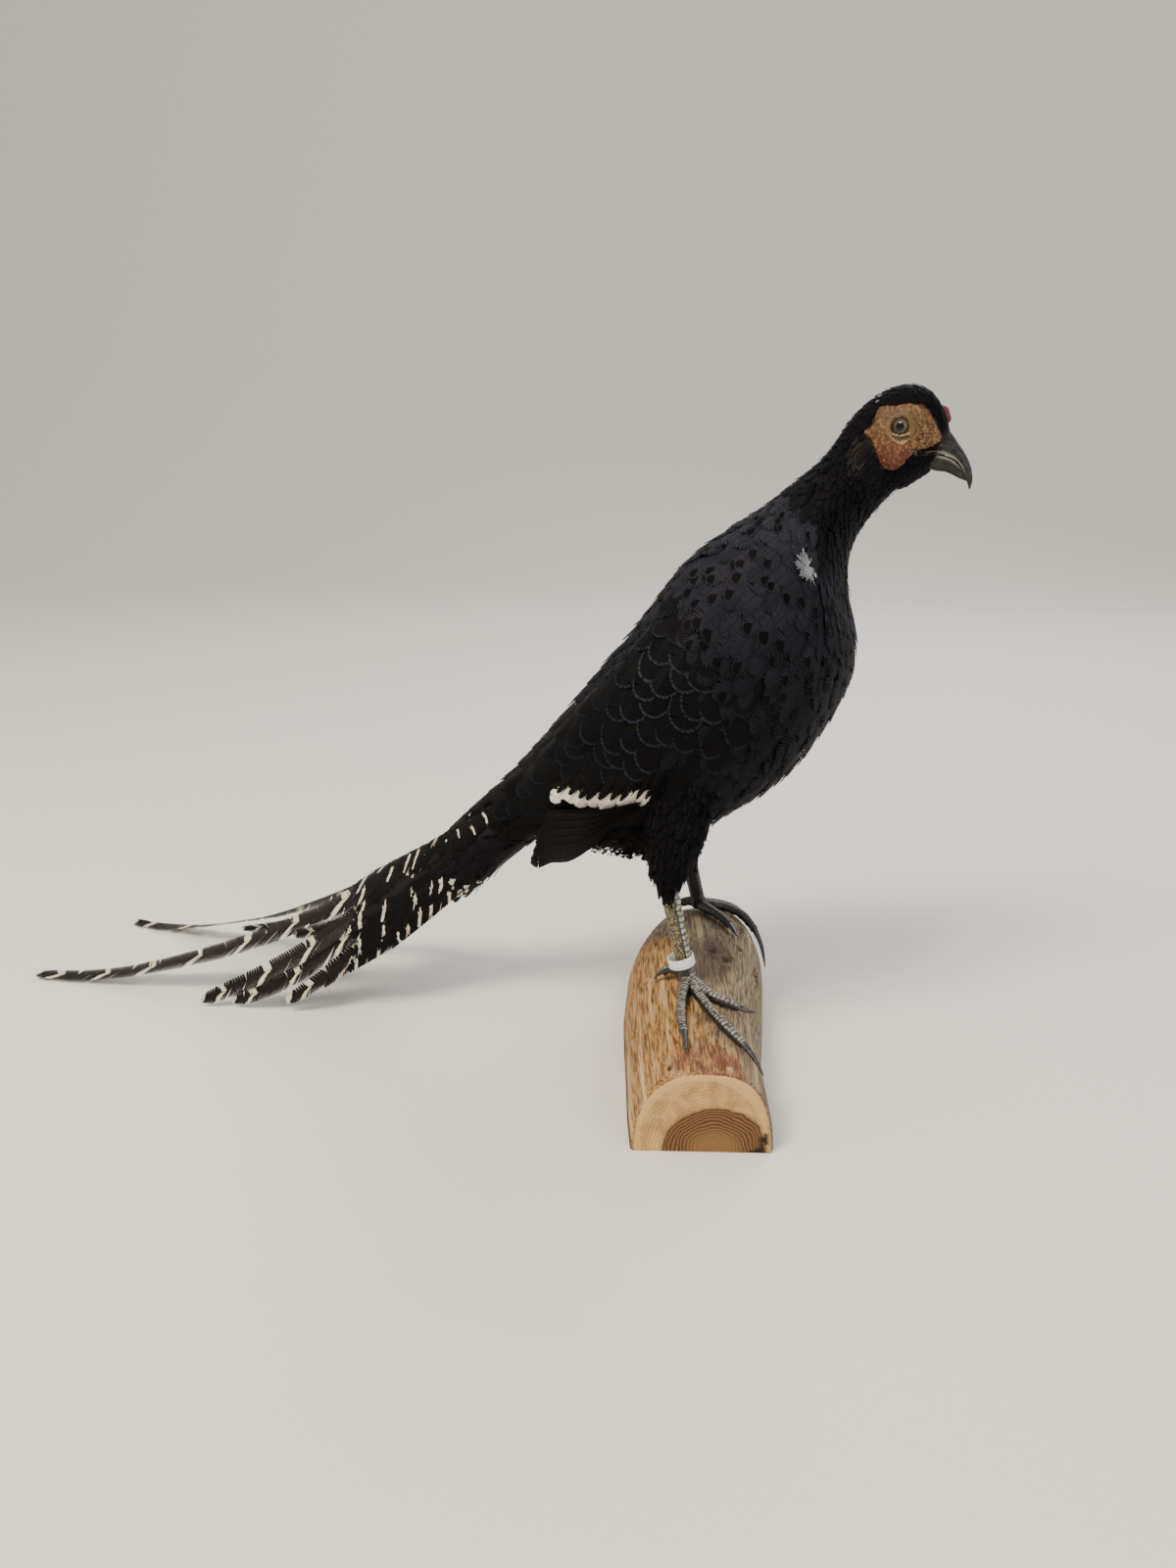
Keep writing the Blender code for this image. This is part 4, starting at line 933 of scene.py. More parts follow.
roots = lattice(body_point, (0.55, 17.0), row_mm, gap_mm, (-180, 180), rng)
at, angle = roots.T
off = np.abs((angle + 180) % 360 - 180)
x, side, z = section(at, angle)
step = np.interp(at, *ROW_MM)
on_face = ((inside_face(x, z) > np.where(x < 98, 1.5, 0.15))
    | (inside_face(x - 2.4, z) > 0.8)) & (at > 12) & (np.abs(side) > 3)
on_face |= mouth_line(x - 1.2, side, z) < 1.0
on_face |= (brow(x, side, z) > 0.05) | (brow(x - 1.4, side, z + 2.0) > 0.05)
under_wing = wing_swell(at, angle) > 0.75 * (WING_LIFT + 1)
ear = (np.hypot((x - 86.8) / 5.6, (z - 361) / 8.6) < rng.uniform(0.55, 1.3, len(x))) & (at > 11.5)
shoulder = ease(5.9, 6.4, at) * ease(8.6, 7.6, at) * ease(48, 66, off) * ease(104, 92, off)
tracts = {
    "head_feathers": ((at >= 12.2) & ~ear, head_vanes, plain_black, 4.4, 1.0, 1.6),
    "ear_feathers": (ear, head_vanes, ear_brown, 4.8, 0.5, 1.6),
    "neck_feathers": ((at >= 9.6) & (at < 12.2) & ~ear, neck_vanes, plain_black, 3.6, 0.95, 2.4),
    "mantle_feathers": ((at >= 4.0) & (at < 9.6) & (off < 75), body_vanes, spotted_black, 2.9, 0.9, 3.0),
    "breast_feathers": ((at >= 5.2) & (at < 9.6) & (off >= 75), body_vanes, spotted_black, 2.9, 0.9, 3.0),
    "belly_feathers": ((at < 5.2) & (off >= 75), loose_vanes, plain_black, 3.0, 0.85, 3.0),
    "rump_feathers": ((at < 4.0) & (off < 75), body_vanes, barred_black, 3.4, 0.85, 3.0),
}
for name, (where, vanes, material, long_, wide, depth) in tracts.items():
    i = where & ~on_face & ~under_wing
    n = int(i.sum())
    share = {spotted_black: 0.36, barred_black: 0.25}.get(material, 1.0)
    marked = rng.random(n) < share * (1 if material is spotted_black else ease(2.2, 1.0, at[i]))
    piece = lay(name, body_point, roots[i], vanes, long_ * step[i] * shag(n, 0.1),
                wide * step[i] * shag(n, 0.08), body_unwrap, material, rng,
                depth=depth, mark=marked, camber=0.1 * step[i].mean(),
                lift=1.4 * shoulder[i] - 1.8 * ease(0.2, 0.5, wing_swell(at[i], angle[i]) / (WING_LIFT + 1)),
                tip_lift=np.abs(rng.normal(0, 0.25, n)))
    settle(piece, "head_feathers" if name in ("head_feathers", "ear_feathers") else "body_feathers")

# %% Feathers of the thighs
CUFF_MM = 4.0
for side, side_name in ((1, "right"), (-1, "left")):
    def on_thigh(at, angle, lift=0.0, side=side):
        return thigh_point(side, at, angle, lift)

    def thigh_unwrap(at, angle, side=side):
        along = 0.01 + 0.47 * at / 5 + (0.5 if side < 0 else 0)
        return np.stack([along, BODY_STRIP + 0.01 + THIGH_STRIP * ((angle + 180) % 360) / 360], 1)

    roots = lattice(on_thigh, (0.2, 4.5), lambda at: CUFF_MM, lambda at: CUFF_MM, (-180, 180), rng)
    n = len(roots)
    piece = lay("thigh_feathers_" + side_name, on_thigh, roots, loose_vanes,
                np.interp(roots[:, 0], [0.2, 1.2], [8.5, 14]) * shag(n, 0.15), 3.8 * shag(n, 0.1),
                thigh_unwrap, plain_black, rng, depth=1.6, turn=0.16, camber=0.5,
                tip_lift=np.abs(rng.normal(0, 0.8, n)) + ease(0.8, 0.2, roots[:, 0]))
    settle(piece, "body_feathers")

# %% [markdown]
# ## Folded wings
# A folded wing shows its coverts in even rows, each with a steel-blue fringe, and below them the
# long plain feathers. One row of coverts has white tips: seen at a slant their tips make the
# zig-zag bar. The folded primaries come out below it as a fan of narrow dark blades.

# %% Wing coverts
WING_ROW, WING_GAP = 10.5, 15.5
COVERT_LENGTH, COVERT_HALF = 31.0, 12.0
BAR_LENGTH, BAR_TWIST = 31.0, 0.42
# the white-tipped row, then the dark row over it: how many, how far up, half width, lift, white or not
BAR_ROWS = [(13, 0.0, 6.2, 1.7, 1.0, covert_vanes), (9, 6.0, 3.8, 2.6, 0.0, point_vanes)]
BAR_FROM, BAR_TO = (4.12, 107.5), (2.72, 85.5)      # the ends of the white bar: along, angle


def wing_share(at, angle):
    """1 on the middle of the folded wing, 0 at its edge."""
    return wing_swell(at, angle) / (WING_LIFT + 1)


for side, side_name in ((1, "right"), (-1, "left")):
    angles = (22, 108) if side > 0 else (-108, -22)
    roots = lattice(body_point, (2.3, 6.75), lambda at: WING_ROW, lambda at: WING_GAP, angles, rng,
        loose=0.16)
    here = (wing_share(roots[:, 0], roots[:, 1]) > 0.3) | ((roots[:, 0] > 5.5) & (roots[:, 0] < 6.6))
    roots = roots[here]
    at, angle = roots.T
    low = ease(80, 96, np.abs(angle)) * ease(6.4, 5.6, at)
    back = ease(4.9, 3.7, at)
    n = len(roots)
    fringed = np.clip((1 - 0.9 * low) * (1 - 0.8 * back) * (1 - 0.8 * ease(6.0, 6.6, at))
                      * (1 - 0.7 * ease(52, 40, np.abs(angle))) + rng.normal(0, 0.16, n), 0.04, 1)
    piece = lay("wing_coverts_" + side_name, body_point, roots, covert_vanes,
                COVERT_LENGTH * (1 + 0.5 * low + 0.4 * back) * shag(n, 0.05), COVERT_HALF * shag(n, 0.05),
                body_unwrap, fringed_black, rng, depth=3.2, lift=0.9, turn=0.09, mark=fringed, camber=1.3,
                twist=side * 0.42 * ease(3.4, 5.2, at))
    settle(piece, "wing_feathers")
    for row, (count, back_mm, half, lift, mark, vanes) in enumerate(BAR_ROWS):
        share = (np.arange(count) + 0.5 - 0.5 * row) / count + rng.normal(0, 0.012, count)
        at = BAR_FROM[0] + (BAR_TO[0] - BAR_FROM[0]) * share
        angle = BAR_FROM[1] + (BAR_TO[1] - BAR_FROM[1]) * share
        along, round_ = span_mm(body_point, at, angle * side)
        reach = BAR_LENGTH + back_mm + rng.normal(0, 0.8, count)
        roots = np.stack([at + reach * math.cos(BAR_TWIST) / along,
                          side * (angle - reach * math.sin(BAR_TWIST) / round_)], 1)
        piece = lay(("wing_bar_", "bar_cover_")[row] + side_name, body_point, roots, vanes, BAR_LENGTH
            * shag(count, 0.04), half, body_unwrap, brown_black, rng, depth=4.6, lift=lift, turn=0.07,
            twist=side * BAR_TWIST, mark=mark, camber=1.1)
        settle(piece, "wing_feathers")

# %% Folded primaries
# x, side from the mid-plane, top z, low z of the folded blade
PRIMARIES = np.array([(-30, 53, 167, 161), (-48, 53.5, 162, 148.5), (-62, 52, 159, 134),
    (-76, 46.5, 156, 122.5), (-90, 39.5, 151, 116), (-100, 34.5, 140, 109.5), (-107, 31, 124, 110)])
BLADES, BLADE_ROOT_X = 6, -26.0
quill_vanes = [make_vane(rng, 60, 2, split=0.006, clump=7, fray=0.12, sweep=0.16, ragged=0.015, widest=0.72,
                         root_width=0.55) for _ in range(3)]


def blade_point(side, x, down, lift=0.0):
    """A place on the folded blade: down runs from 0 at the top edge to 1 at the low one."""
    off, top, low = (smooth(-PRIMARIES[:, 0], column, -x) for column in PRIMARIES.T[1:])
    return np.stack([x, MID_Y - side * (off + lift), top + (low - top) * down], -1)


down = np.linspace(0.12, 0.9, BLADES)
tip_x = np.interp(down, [0, 0.35, 0.7, 1], [-90, -99, -105.5, -106.5])
for side, side_name in ((1, "right"), (-1, "left")):
    pieces = []
    for i in range(BLADES):
        shape, faces = quill_vanes[i % 3]
        x = BLADE_ROOT_X + (tip_x[i] - BLADE_ROOT_X) * shape[:, 1]
        tall = smooth(-PRIMARIES[:, 0], PRIMARIES[:, 2] - PRIMARIES[:, 3], -x)
        place = np.clip(down[i] + shape[:, 0] * np.minimum(8.6 / tall, 0.24), -0.02, 1.02)
        points = blade_point(side, x, place, 2.0 - 0.45 * i - 1.5 * shape[:, 0]
                             - (3.0 + 6.0 * place) * ease(-60, -100, x))
        flat = np.stack([shape[:, 0] * 0.5 + 0.5, shape[:, 1]], 1)
        bake = np.array([(i + 0.5) / BLADES, 0.5]) + (flat - 0.5) * (0.9 / BLADES, 0.95)
        pieces.append(fast_mesh("blade", points, faces, brown_black, {"OFBake": bake, "Vane": flat},
                                {"shade": np.full(len(points), rng.random()), "mark": np.zeros(len(points))}))
    settle(join("folded_primaries_" + side_name, pieces), "wing_feathers", "primaries_" + side_name)

# %% [markdown]
# ## Tail
# Twelve long feathers lie on an arched roof that opens backwards, the middle pair on top and much
# the longest. Each has a stiff shaft, loose barbs that part into slits, and narrow cream bars
# about thirty millimetres apart that slant back from the shaft, the last at the very tip.

# %% Roof of the tail
TAIL_X = [-150, -172, -200, -222, -250, -273, -313, -340, -400, -440, -480]
RIDGE_Z = [136, 115.5, 98.5, 86, 70, 59, 41, 31, 12, 4.4, 3.6]
EDGE_Z = [88, 68, 46, 33, 15, 5.5, 3.2, 3.0, 2.6, 2.5, 2.5]
ROOF_HALF = [14.5, 19, 33, 42, 54, 58, 60, 63, 63, 62, 62]
TAIL_DRIFT, FAR_SPREAD, FEATHER_STEP = 0.06, 0.86, 1.45
# side (-1 right, 1 left), tip x, place across the roof at root and tip, how late it swings out, width
TAIL_FEATHERS = [
    (-1, -476, 0.22, 0.59, 2.0, 27), (1, -462, 0.20, 0.84, 2.2, 27),
    (-1, -335, 0.48, 0.97, 3.5, 25), (1, -365, 0.48, 0.93, 3.0, 25),
    (-1, -313, 0.60, 0.97, 3.0, 24), (1, -318, 0.60, 0.93, 2.5, 24),
    (-1, -273, 0.72, 0.97, 2.0, 23), (1, -276, 0.72, 0.93, 2.0, 23),
    (-1, -250, 0.80, 0.96, 1.5, 20), (1, -250, 0.80, 0.93, 1.5, 20),
    (-1, -212, 0.86, 0.94, 1.0, 16), (1, -214, 0.86, 0.92, 1.0, 16),
]
BAR_STEP, BAR_WIDTH, FIRST_BAR = 31.0, 4.0, 22.0


def roof_point(x, across, depth):
    """A place on the roof: across runs from -1 at the right edge over the ridge to 1 at the left."""
    ridge, edge, half = (smooth(-np.array(TAIL_X), heights, -x) for heights in (RIDGE_Z, EDGE_Z, ROOF_HALF))
    half = half * np.where(across > 0, 1 - (1 - FAR_SPREAD) * np.clip((-x - 172) / 100, 0, 1), 1)
    rise = np.maximum(ridge - edge, 1.0)
    side, high = np.sin(across * math.pi / 2), np.cos(across * math.pi / 2)
    inward = np.stack([rise * side, half * high], -1)
    inward = inward / np.linalg.norm(inward, axis=-1, keepdims=True) * np.asarray(depth)[..., None]
    return np.stack([x, MID_Y + TAIL_DRIFT * (-x - 120) + half * side - inward[..., 0],
                     edge + rise * high - inward[..., 1]], -1)


def tail_material():
    """Long tail vane: brown-black and slightly greasy, with narrow cream bars that follow the barbs."""
    material, tree, shader = start_material("barred_tail_feather", Roughness=0.46, Specular_IOR_Level=0.15)
    flat = add(tree, "SeparateXYZ", {0: add(tree, "UVMap", uv_map="Vane")["UV"]})
    off = add(tree, "Math", (flat["X"], 0.5), operation="SUBTRACT")[0]
    off = add(tree, "Math", (off, 2.0), operation="MULTIPLY")[0]
    off = add(tree, "Math", (off,), operation="ABSOLUTE")[0]
    from_tip = add(tree, "Attribute", attribute_name="from_tip")["Fac"]
    shade = add(tree, "Attribute", attribute_name="shade")["Fac"]
    place = add(tree, "TexCoord")["Object"]
    fine = add(tree, "TexNoise", {"Vector": place, "Scale": 1 / (1.2 * MM), "Detail": 2.0})["Fac"]
    broad = add(tree, "TexNoise", {"Vector": place, "Scale": 1 / (9 * MM)})["Fac"]
    amount = add(tree, "Math", (shade, broad), operation="ADD")[0]
    amount = add(tree, "Math", (amount, 0.5), operation="MULTIPLY")[0]
    vane = add(tree, "Mix", {0: amount, 6: colour("#0b0806"), 7: colour("#1e1611")}, **TINTS)[2]
    wave = add(tree, "Math", (from_tip, add(tree, "Math", (off, 4.6), operation="MULTIPLY")[0]),
        operation="ADD")[0]
    wave = add(tree, "Math", (wave, add(tree, "Math", (shade, 1.8), operation="MULTIPLY")[0]),
        operation="ADD")[0]
    wave = add(tree, "Math", (wave, add(tree, "Math", (fine, 2.4), operation="MULTIPLY")[0]),
        operation="ADD")[0]
    near = add(tree, "Math", (wave, FIRST_BAR), operation="SUBTRACT")[0]
    near = add(tree, "Math", (near, BAR_STEP / 2), operation="PINGPONG")[0]
    near = add(tree, "Math", (near, add(tree, "Math",
        (add(tree, "Math", (from_tip, fine), operation="ADD")[0], 4.6), operation="SUBTRACT")[0]),
        operation="MINIMUM")[0]
    dark_rim = add(tree, "MapRange", (near, BAR_WIDTH * 1.2, BAR_WIDTH * 0.7, 0.0, 0.8), **SOFT)[0]
    vane = add(tree, "Mix", {0: dark_rim, 6: vane, 7: colour("#040303")}, **TINTS)[2]
    amount = add(tree, "MapRange", (near, BAR_WIDTH * 0.58, BAR_WIDTH * 0.42), **SOFT)[0]
    vane = add(tree, "Mix", {0: amount, 6: vane, 7: colour("#d3c8ae")}, **TINTS)[2]
    amount = add(tree, "MapRange", (off, 0.05, 0.02, 0.0, 0.7), **SOFT)[0]
    vane = add(tree, "Mix", {0: amount, 6: vane, 7: colour("#1a100a")}, **TINTS)[2]
    tree.links.new(vane, shader.inputs["Base Color"])
    lines = add(tree, "Math", (from_tip, add(tree, "Math", (off, 9.0), operation="MULTIPLY")[0]),
        operation="SUBTRACT")[0]
    lines = add(tree, "Math", (lines, 2 * math.pi / 1.4), operation="MULTIPLY")[0]
    lines = add(tree, "Math", (lines,), operation="SINE")[0]
    tree.links.new(add(tree, "Bump", {"Height": lines, "Distance": 0.15 * MM, "Strength": 0.5})[0],
        shader.inputs["Normal"])
    return material


# %% Long tail feathers
def tail_width(t):
    """A tail feather's width as a share of its full width."""
    tip = np.sqrt(np.clip(1 - (np.maximum(t - 0.93, 0) / 0.072) ** 2, 0.05, 1))
    return (0.6 + 0.4 * np.minimum(t / 0.25, 1)) * (1 - 0.5 * t ** 1.5) * tip


barred = tail_material()
for number, (side, tip_x, root_across, tip_across, lateness, width) in enumerate(TAIL_FEATHERS):
    layer = number if number < 2 else 1 + number // 2
    root_x = -132.0
    long_ = root_x - tip_x
    strips = int(long_ / 1.6)
    shape, faces = make_vane(rng, strips, 3, split=0.8 / strips, clump=6, fray=0.34, sweep=0.055 * 330
        / long_, ragged=0.06, widest=0.5, root_width=1.0, start=0.0)
    y = shape[:, 1]
    widest = np.maximum(outline(np.clip(y, 0, 1), 0.5, 1.0), 0.02)
    reach = np.clip(np.abs(shape[:, 0]) / widest, 0, 1.0) * np.sign(shape[:, 0])
    x = root_x + (tip_x - root_x) * y
    spread = root_across + (tip_across - root_across) * y ** lateness
    middle = roof_point(x, side * spread, np.zeros_like(x))
    beside = roof_point(x, side * (spread - 0.02), np.zeros_like(x))
    per_mm = 0.02 / np.linalg.norm(beside - middle, axis=1)
    across = side * np.clip(spread + reach * per_mm * width / 2 * tail_width(y), -1.0, 1.0)
    depth = layer * FEATHER_STEP + 0.15 + 0.5 * reach ** 2
    points = roof_point(x, across, depth)
    flat = np.stack([reach * 0.5 + 0.5, y], 1)
    bake = np.array([(number + 0.5) / 12, 0.5]) + (flat - 0.5) * (0.8 / 12, 0.98)
    strip = np.repeat(rng.random(len(points) // 8 + 1), 8)[:len(points)]
    left_half = 1.5 * (reach > 0)
    name = "tail_vane_" + ("right_" if side < 0 else "left_") + str(number // 2 + 1)
    piece = fast_mesh(name, points, faces, barred, {"OFBake": bake, "Vane": flat},
        {"shade": strip, "from_tip": ((1 - y) * long_ + left_half) * (0.86 if number < 2 else 1.0)})
    settle(piece, "tail_feathers", name.replace("vane", "feather"))

# %% Coverts over and under the tail root
def on_roof(at, angle, lift=0.0):
    return roof_point(at, np.clip(angle / 90, -1.0, 1.0), -np.asarray(lift, float))


def roof_unwrap(at, angle):
    return np.stack([(angle + 110) / 220, (at + 260) / 180], 1)


roots = lattice(on_roof, (-192, -128), lambda at: 9.5, lambda at: 8.0, (-86, 86), rng)
n = len(roots)
piece = lay("upper_tail_coverts", on_roof, roots, body_vanes, 44 * shag(n, 0.1), 9.0 * shag(n, 0.08),
            roof_unwrap, barred_black, rng, depth=1.5, lift=np.interp(roots[:, 0], [-192, -128], [0.9, 2.4]),
            turn=0.06, camber=0.9, mark=rng.random(n) < 0.4)
settle(piece, "tail_feathers")

# %% [markdown]
# ## Bill
# The bill is horn over bone: dark, glossy and a little scratched, with a paler line along the
# cutting edge, partly paler horn and partly a painted highlight. The upper half is a row of slanting
# sections, because its ridge starts further forward than the corner of the mouth; it hooks over the lower
# half. A soft flap covers the nostril.

# %% Bill
# ridge x and z, cutting edge x and z, half width
UPPER_BILL = np.array([(121.5, 370, 112.3, 355.8, 7.2), (124.8, 367.2, 117.5, 355.7, 6.6),
                       (127.3, 364.2, 122.5, 355.2, 5.9), (130, 360.3, 126.8, 354.1, 5.1),
                       (133.2, 355.9, 130.4, 351.9, 4.1), (135.9, 351.2, 133.2, 348.4, 3.2),
                       (137.6, 346.5, 134.9, 344.6, 2.3), (138.3, 341.8, 135.9, 341.2, 1.4),
                       (137.6, 337.3, 137.0, 337.5, 0.3)])
# low edge x and z, cutting edge x and z, half width
LOWER_BILL = np.array([(116.5, 347.5, 112.6, 355.2, 6.5), (120.5, 346.4, 118.2, 355.2, 5.9),
                       (124.8, 345.9, 123.2, 354.5, 5.1), (128.7, 344.4, 127.4, 353.0, 4.2),
                       (131.4, 343.0, 130.8, 350.3, 3.3), (133.9, 342.0, 133.6, 346.8, 2.3),
                       (135.8, 341.3, 135.7, 343.2, 1.0)])
EDGE_ANGLE = 122.0


def bill_place(rows, nostril):
    def place(u, v):
        at = np.interp(u, [0, 0.04, 0.97, 1], [0, 0, len(rows) - 1, len(rows) - 1])
        full = np.interp(u, [0, 0.04, 0.97, 1], [0, 1, 1, 0])
        ridge_x, ridge_z, edge_x, edge_z, half = (smooth(np.arange(len(rows)), c, at) for c in rows.T)
        turn = v * 360 - 180
        a = np.abs(turn)
        under = np.clip((a - EDGE_ANGLE) / (180 - EDGE_ANGLE), 0, 1)
        high = np.where(a < EDGE_ANGLE, np.cos(np.radians(a * 90 / EDGE_ANGLE)) ** 0.9, 0.22
            * np.sin(under * math.pi / 2))
        wide = np.where(a < EDGE_ANGLE, np.sin(np.radians(a * 90 / EDGE_ANGLE)) ** 0.75,
            np.cos(under * math.pi / 2))
        x, z = edge_x + (ridge_x - edge_x) * high, edge_z + (ridge_z - edge_z) * high
        side = np.sign(turn) * half * wide
        if nostril:
            flap = np.hypot((x - 123.2) / 4.4, (z - 359.6 + 0.35 * (x - 123.2)) / 2.0)
            slit = np.hypot((x - 124.6) / 3.0, (z - 357.6 + 0.3 * (x - 124.6)) / 0.55)
            side = side + np.sign(turn) * (1.0 * dent(flap, 0.8) - 1.3
                * dent(slit, 0.9)) * (np.abs(side) > 1.5)
        middle_x, middle_z = (ridge_x + edge_x) / 2, (ridge_z + edge_z) / 2
        return turned(middle_x + (x - middle_x) * full, side * full, middle_z + (z - middle_z) * full)
    return place


def bill_material():
    """Old bill horn: near black, glossy, with scratches along it and a pale cutting edge, partly paler horn
    and partly a painted highlight.
    """
    material, tree, shader = start_material("polished_bill_horn", Specular_IOR_Level=0.3, Coat_Weight=0.12,
                                            Coat_Roughness=0.15)
    uv = add(tree, "UVMap", uv_map="OFBake")["UV"]
    split = add(tree, "SeparateXYZ", {0: uv})
    place = add(tree, "TexCoord")["Object"]
    cloud = add(tree, "TexNoise", {"Vector": place, "Scale": 1 / (2.6 * MM), "Detail": 4.0})["Fac"]
    amount = add(tree, "MapRange", (cloud, 0.35, 0.7), **SOFT)[0]
    horn = add(tree, "Mix", {0: amount, 6: colour("#0b0a08"), 7: colour("#26231e")}, **TINTS)[2]
    # The pale line along the cutting edge is partly paler horn and partly a painted highlight.
    from_middle = add(tree, "Math", (split["Y"], 0.5), operation="SUBTRACT")[0]
    from_middle = add(tree, "Math", (from_middle,), operation="ABSOLUTE")[0]
    near_edge = add(tree, "Math", (from_middle, EDGE_ANGLE / 360), operation="SUBTRACT")[0]
    near_edge = add(tree, "Math", (near_edge,), operation="ABSOLUTE")[0]
    edge = add(tree, "MapRange", (near_edge, 0.05, 0.01), **SOFT)[0]
    edge = add(tree, "Math", (edge, add(tree, "MapRange", (split["X"], 0.85, 0.55), **SOFT)[0]),
        operation="MULTIPLY")[0]
    amount = add(tree, "Math", (edge, 0.75), operation="MULTIPLY")[0]
    horn = add(tree, "Mix", {0: amount, 6: horn, 7: colour("#7d7768")}, **TINTS)[2]
    tree.links.new(horn, shader.inputs["Base Color"])
    scratch = add(tree, "TexNoise", {"Vector": add(tree, "Mapping", {"Vector": uv, "Scale": (3, 60, 1)})[0],
                                     "Scale": 1.0, "Detail": 3.0})["Fac"]
    tree.links.new(add(tree, "MapRange", (cloud, 0.3, 0.7, 0.3, 0.48), **SOFT)[0], shader.inputs["Roughness"])
    tree.links.new(add(tree, "Bump", {"Height": scratch, "Distance": 0.12 * MM, "Strength": 0.5})[0],
        shader.inputs["Normal"])
    return material


horn = bill_material()
settle(rolled_grid("upper_bill", (72, 72), bill_place(UPPER_BILL, True), horn), "bill_horn", "bill_upper")
settle(rolled_grid("lower_bill", (48, 48), bill_place(LOWER_BILL, False), horn), "bill_horn", "bill_lower")

# %% [markdown]
# ## Half log
# The stand is half of a small trunk, barked, weathered and sawn off at both ends. Its long side
# fibres have opened into grooves, knots stand out, and a smooth dark hollow lies beside the ring.
# The relief is worked out from places on the log, and the same places steer its stain.

# %% Form of the log
LOG_START, LOG_ANGLE = np.array([16.0, -110.0]), math.radians(9)
LOG = np.array([(0, 37.5, 39, 48), (30, 39.5, 38.5, 51), (60, 40.5, 38.5, 53.5), (110, 42.5, 44, 55.5),
                (150, 42.5, 48.5, 56), (190, 37, 51.5, 54.5), (212, 30, 48, 50)], float)
LOG_ROUND_LEFT, LOG_ROUND_RIGHT, LOG_ROUND_TOP = 2.3, 3.3, 2.2
LOG_LENGTH = LOG[-1, 0]


def log_point(along, angle, lift=0.0):
    """A place on the log: the angle runs from 0 at the left foot over the top to 180 at the right."""
    left, right, height = (smooth(LOG[:, 0], column, along) for column in LOG.T[1:])
    half, middle = (left + right) / 2 + lift, (right - left) / 2
    c, s = np.cos(np.radians(angle)), np.sin(np.radians(angle))
    off = middle - half * power(c, 2 / np.where(c > 0, LOG_ROUND_LEFT, LOG_ROUND_RIGHT))
    return np.stack(np.broadcast_arrays(
        LOG_START[0] - math.sin(LOG_ANGLE) * along + math.cos(LOG_ANGLE) * off,
        LOG_START[1] + math.cos(LOG_ANGLE) * along + math.sin(LOG_ANGLE) * off,
        (height + lift) * np.maximum(s, 0) ** (2 / LOG_ROUND_TOP)), -1)


def log_local(points):
    """Along the log, off its middle line and height, of places in mm."""
    x, y = points[:, 0] - LOG_START[0], points[:, 1] - LOG_START[1]
    return (-x * math.sin(LOG_ANGLE) + y * math.cos(LOG_ANGLE), x * math.cos(LOG_ANGLE) + y
        * math.sin(LOG_ANGLE), points[:, 2])


def on_log(x, y, clear):
    """The centre of something of radius `clear` that lies on the log over the place x, y."""
    along, off, _ = (float(value[0]) for value in log_local(np.array([[x, y, 0.0]])))
    left, right = (float(smooth(LOG[:, 0], column, along)) for column in LOG.T[1:3])
    half, middle = (left + right) / 2, (right - left) / 2
    share = min(abs(off - middle) / half, 0.995)
    angle = math.degrees(math.acos(share ** ((LOG_ROUND_LEFT if off < middle else LOG_ROUND_RIGHT) / 2)))
    angle = angle if off < middle else 180 - angle
    across = log_point(along, angle + 0.5) - log_point(along, angle - 0.5)
    slope = log_point(along + 1, angle) - log_point(along - 1, angle)
    normal = np.cross(slope, across)
    normal *= np.sign(normal[2]) / np.linalg.norm(normal)
    return log_point(along, angle) + normal * clear


# %% Knots, hollow and fibres
# along, angle, radius along, radius round in mm, height of its rim, depth of its hole, how dark
KNOTS = [(133, 96, 4.5, 3, 0.5, 1.6, 0.9), (122, 106, 3.5, 3.5, 1.5, 1.8, 0.8),
    (142, 118, 3, 2.5, 0.8, 1.2, 0.7), (132, 143, 7, 5, 1.3, 2.4, 0.85), (105, 48, 5, 4, 0.8, 0.8, 0.35),
    (32, 78, 1.1, 1.1, 0.1, 1.5, 1.0), (8.5, 67, 2.6, 2.4, 0.7, 2.4, 0.9), (70, 30, 4, 3, 0.6, 0.8, 0.4),
    (178, 120, 5, 4, 0.9, 1.2, 0.6)]
CRACKS = [((96, 58), (80, 56), 0.8, 1.6), ((60, 24), (30, 22), 0.5, 0.9), ((118, 70), (92, 74), 0.4, 0.8),
          ((150, 35), (120, 33), 0.5, 1.0)]
SAW_STEP = 1.1
DEGREE_MM = 0.95        # one degree round the log, in mm
UNDER_SHARE, CAP_SHARE = 0.16, 0.06


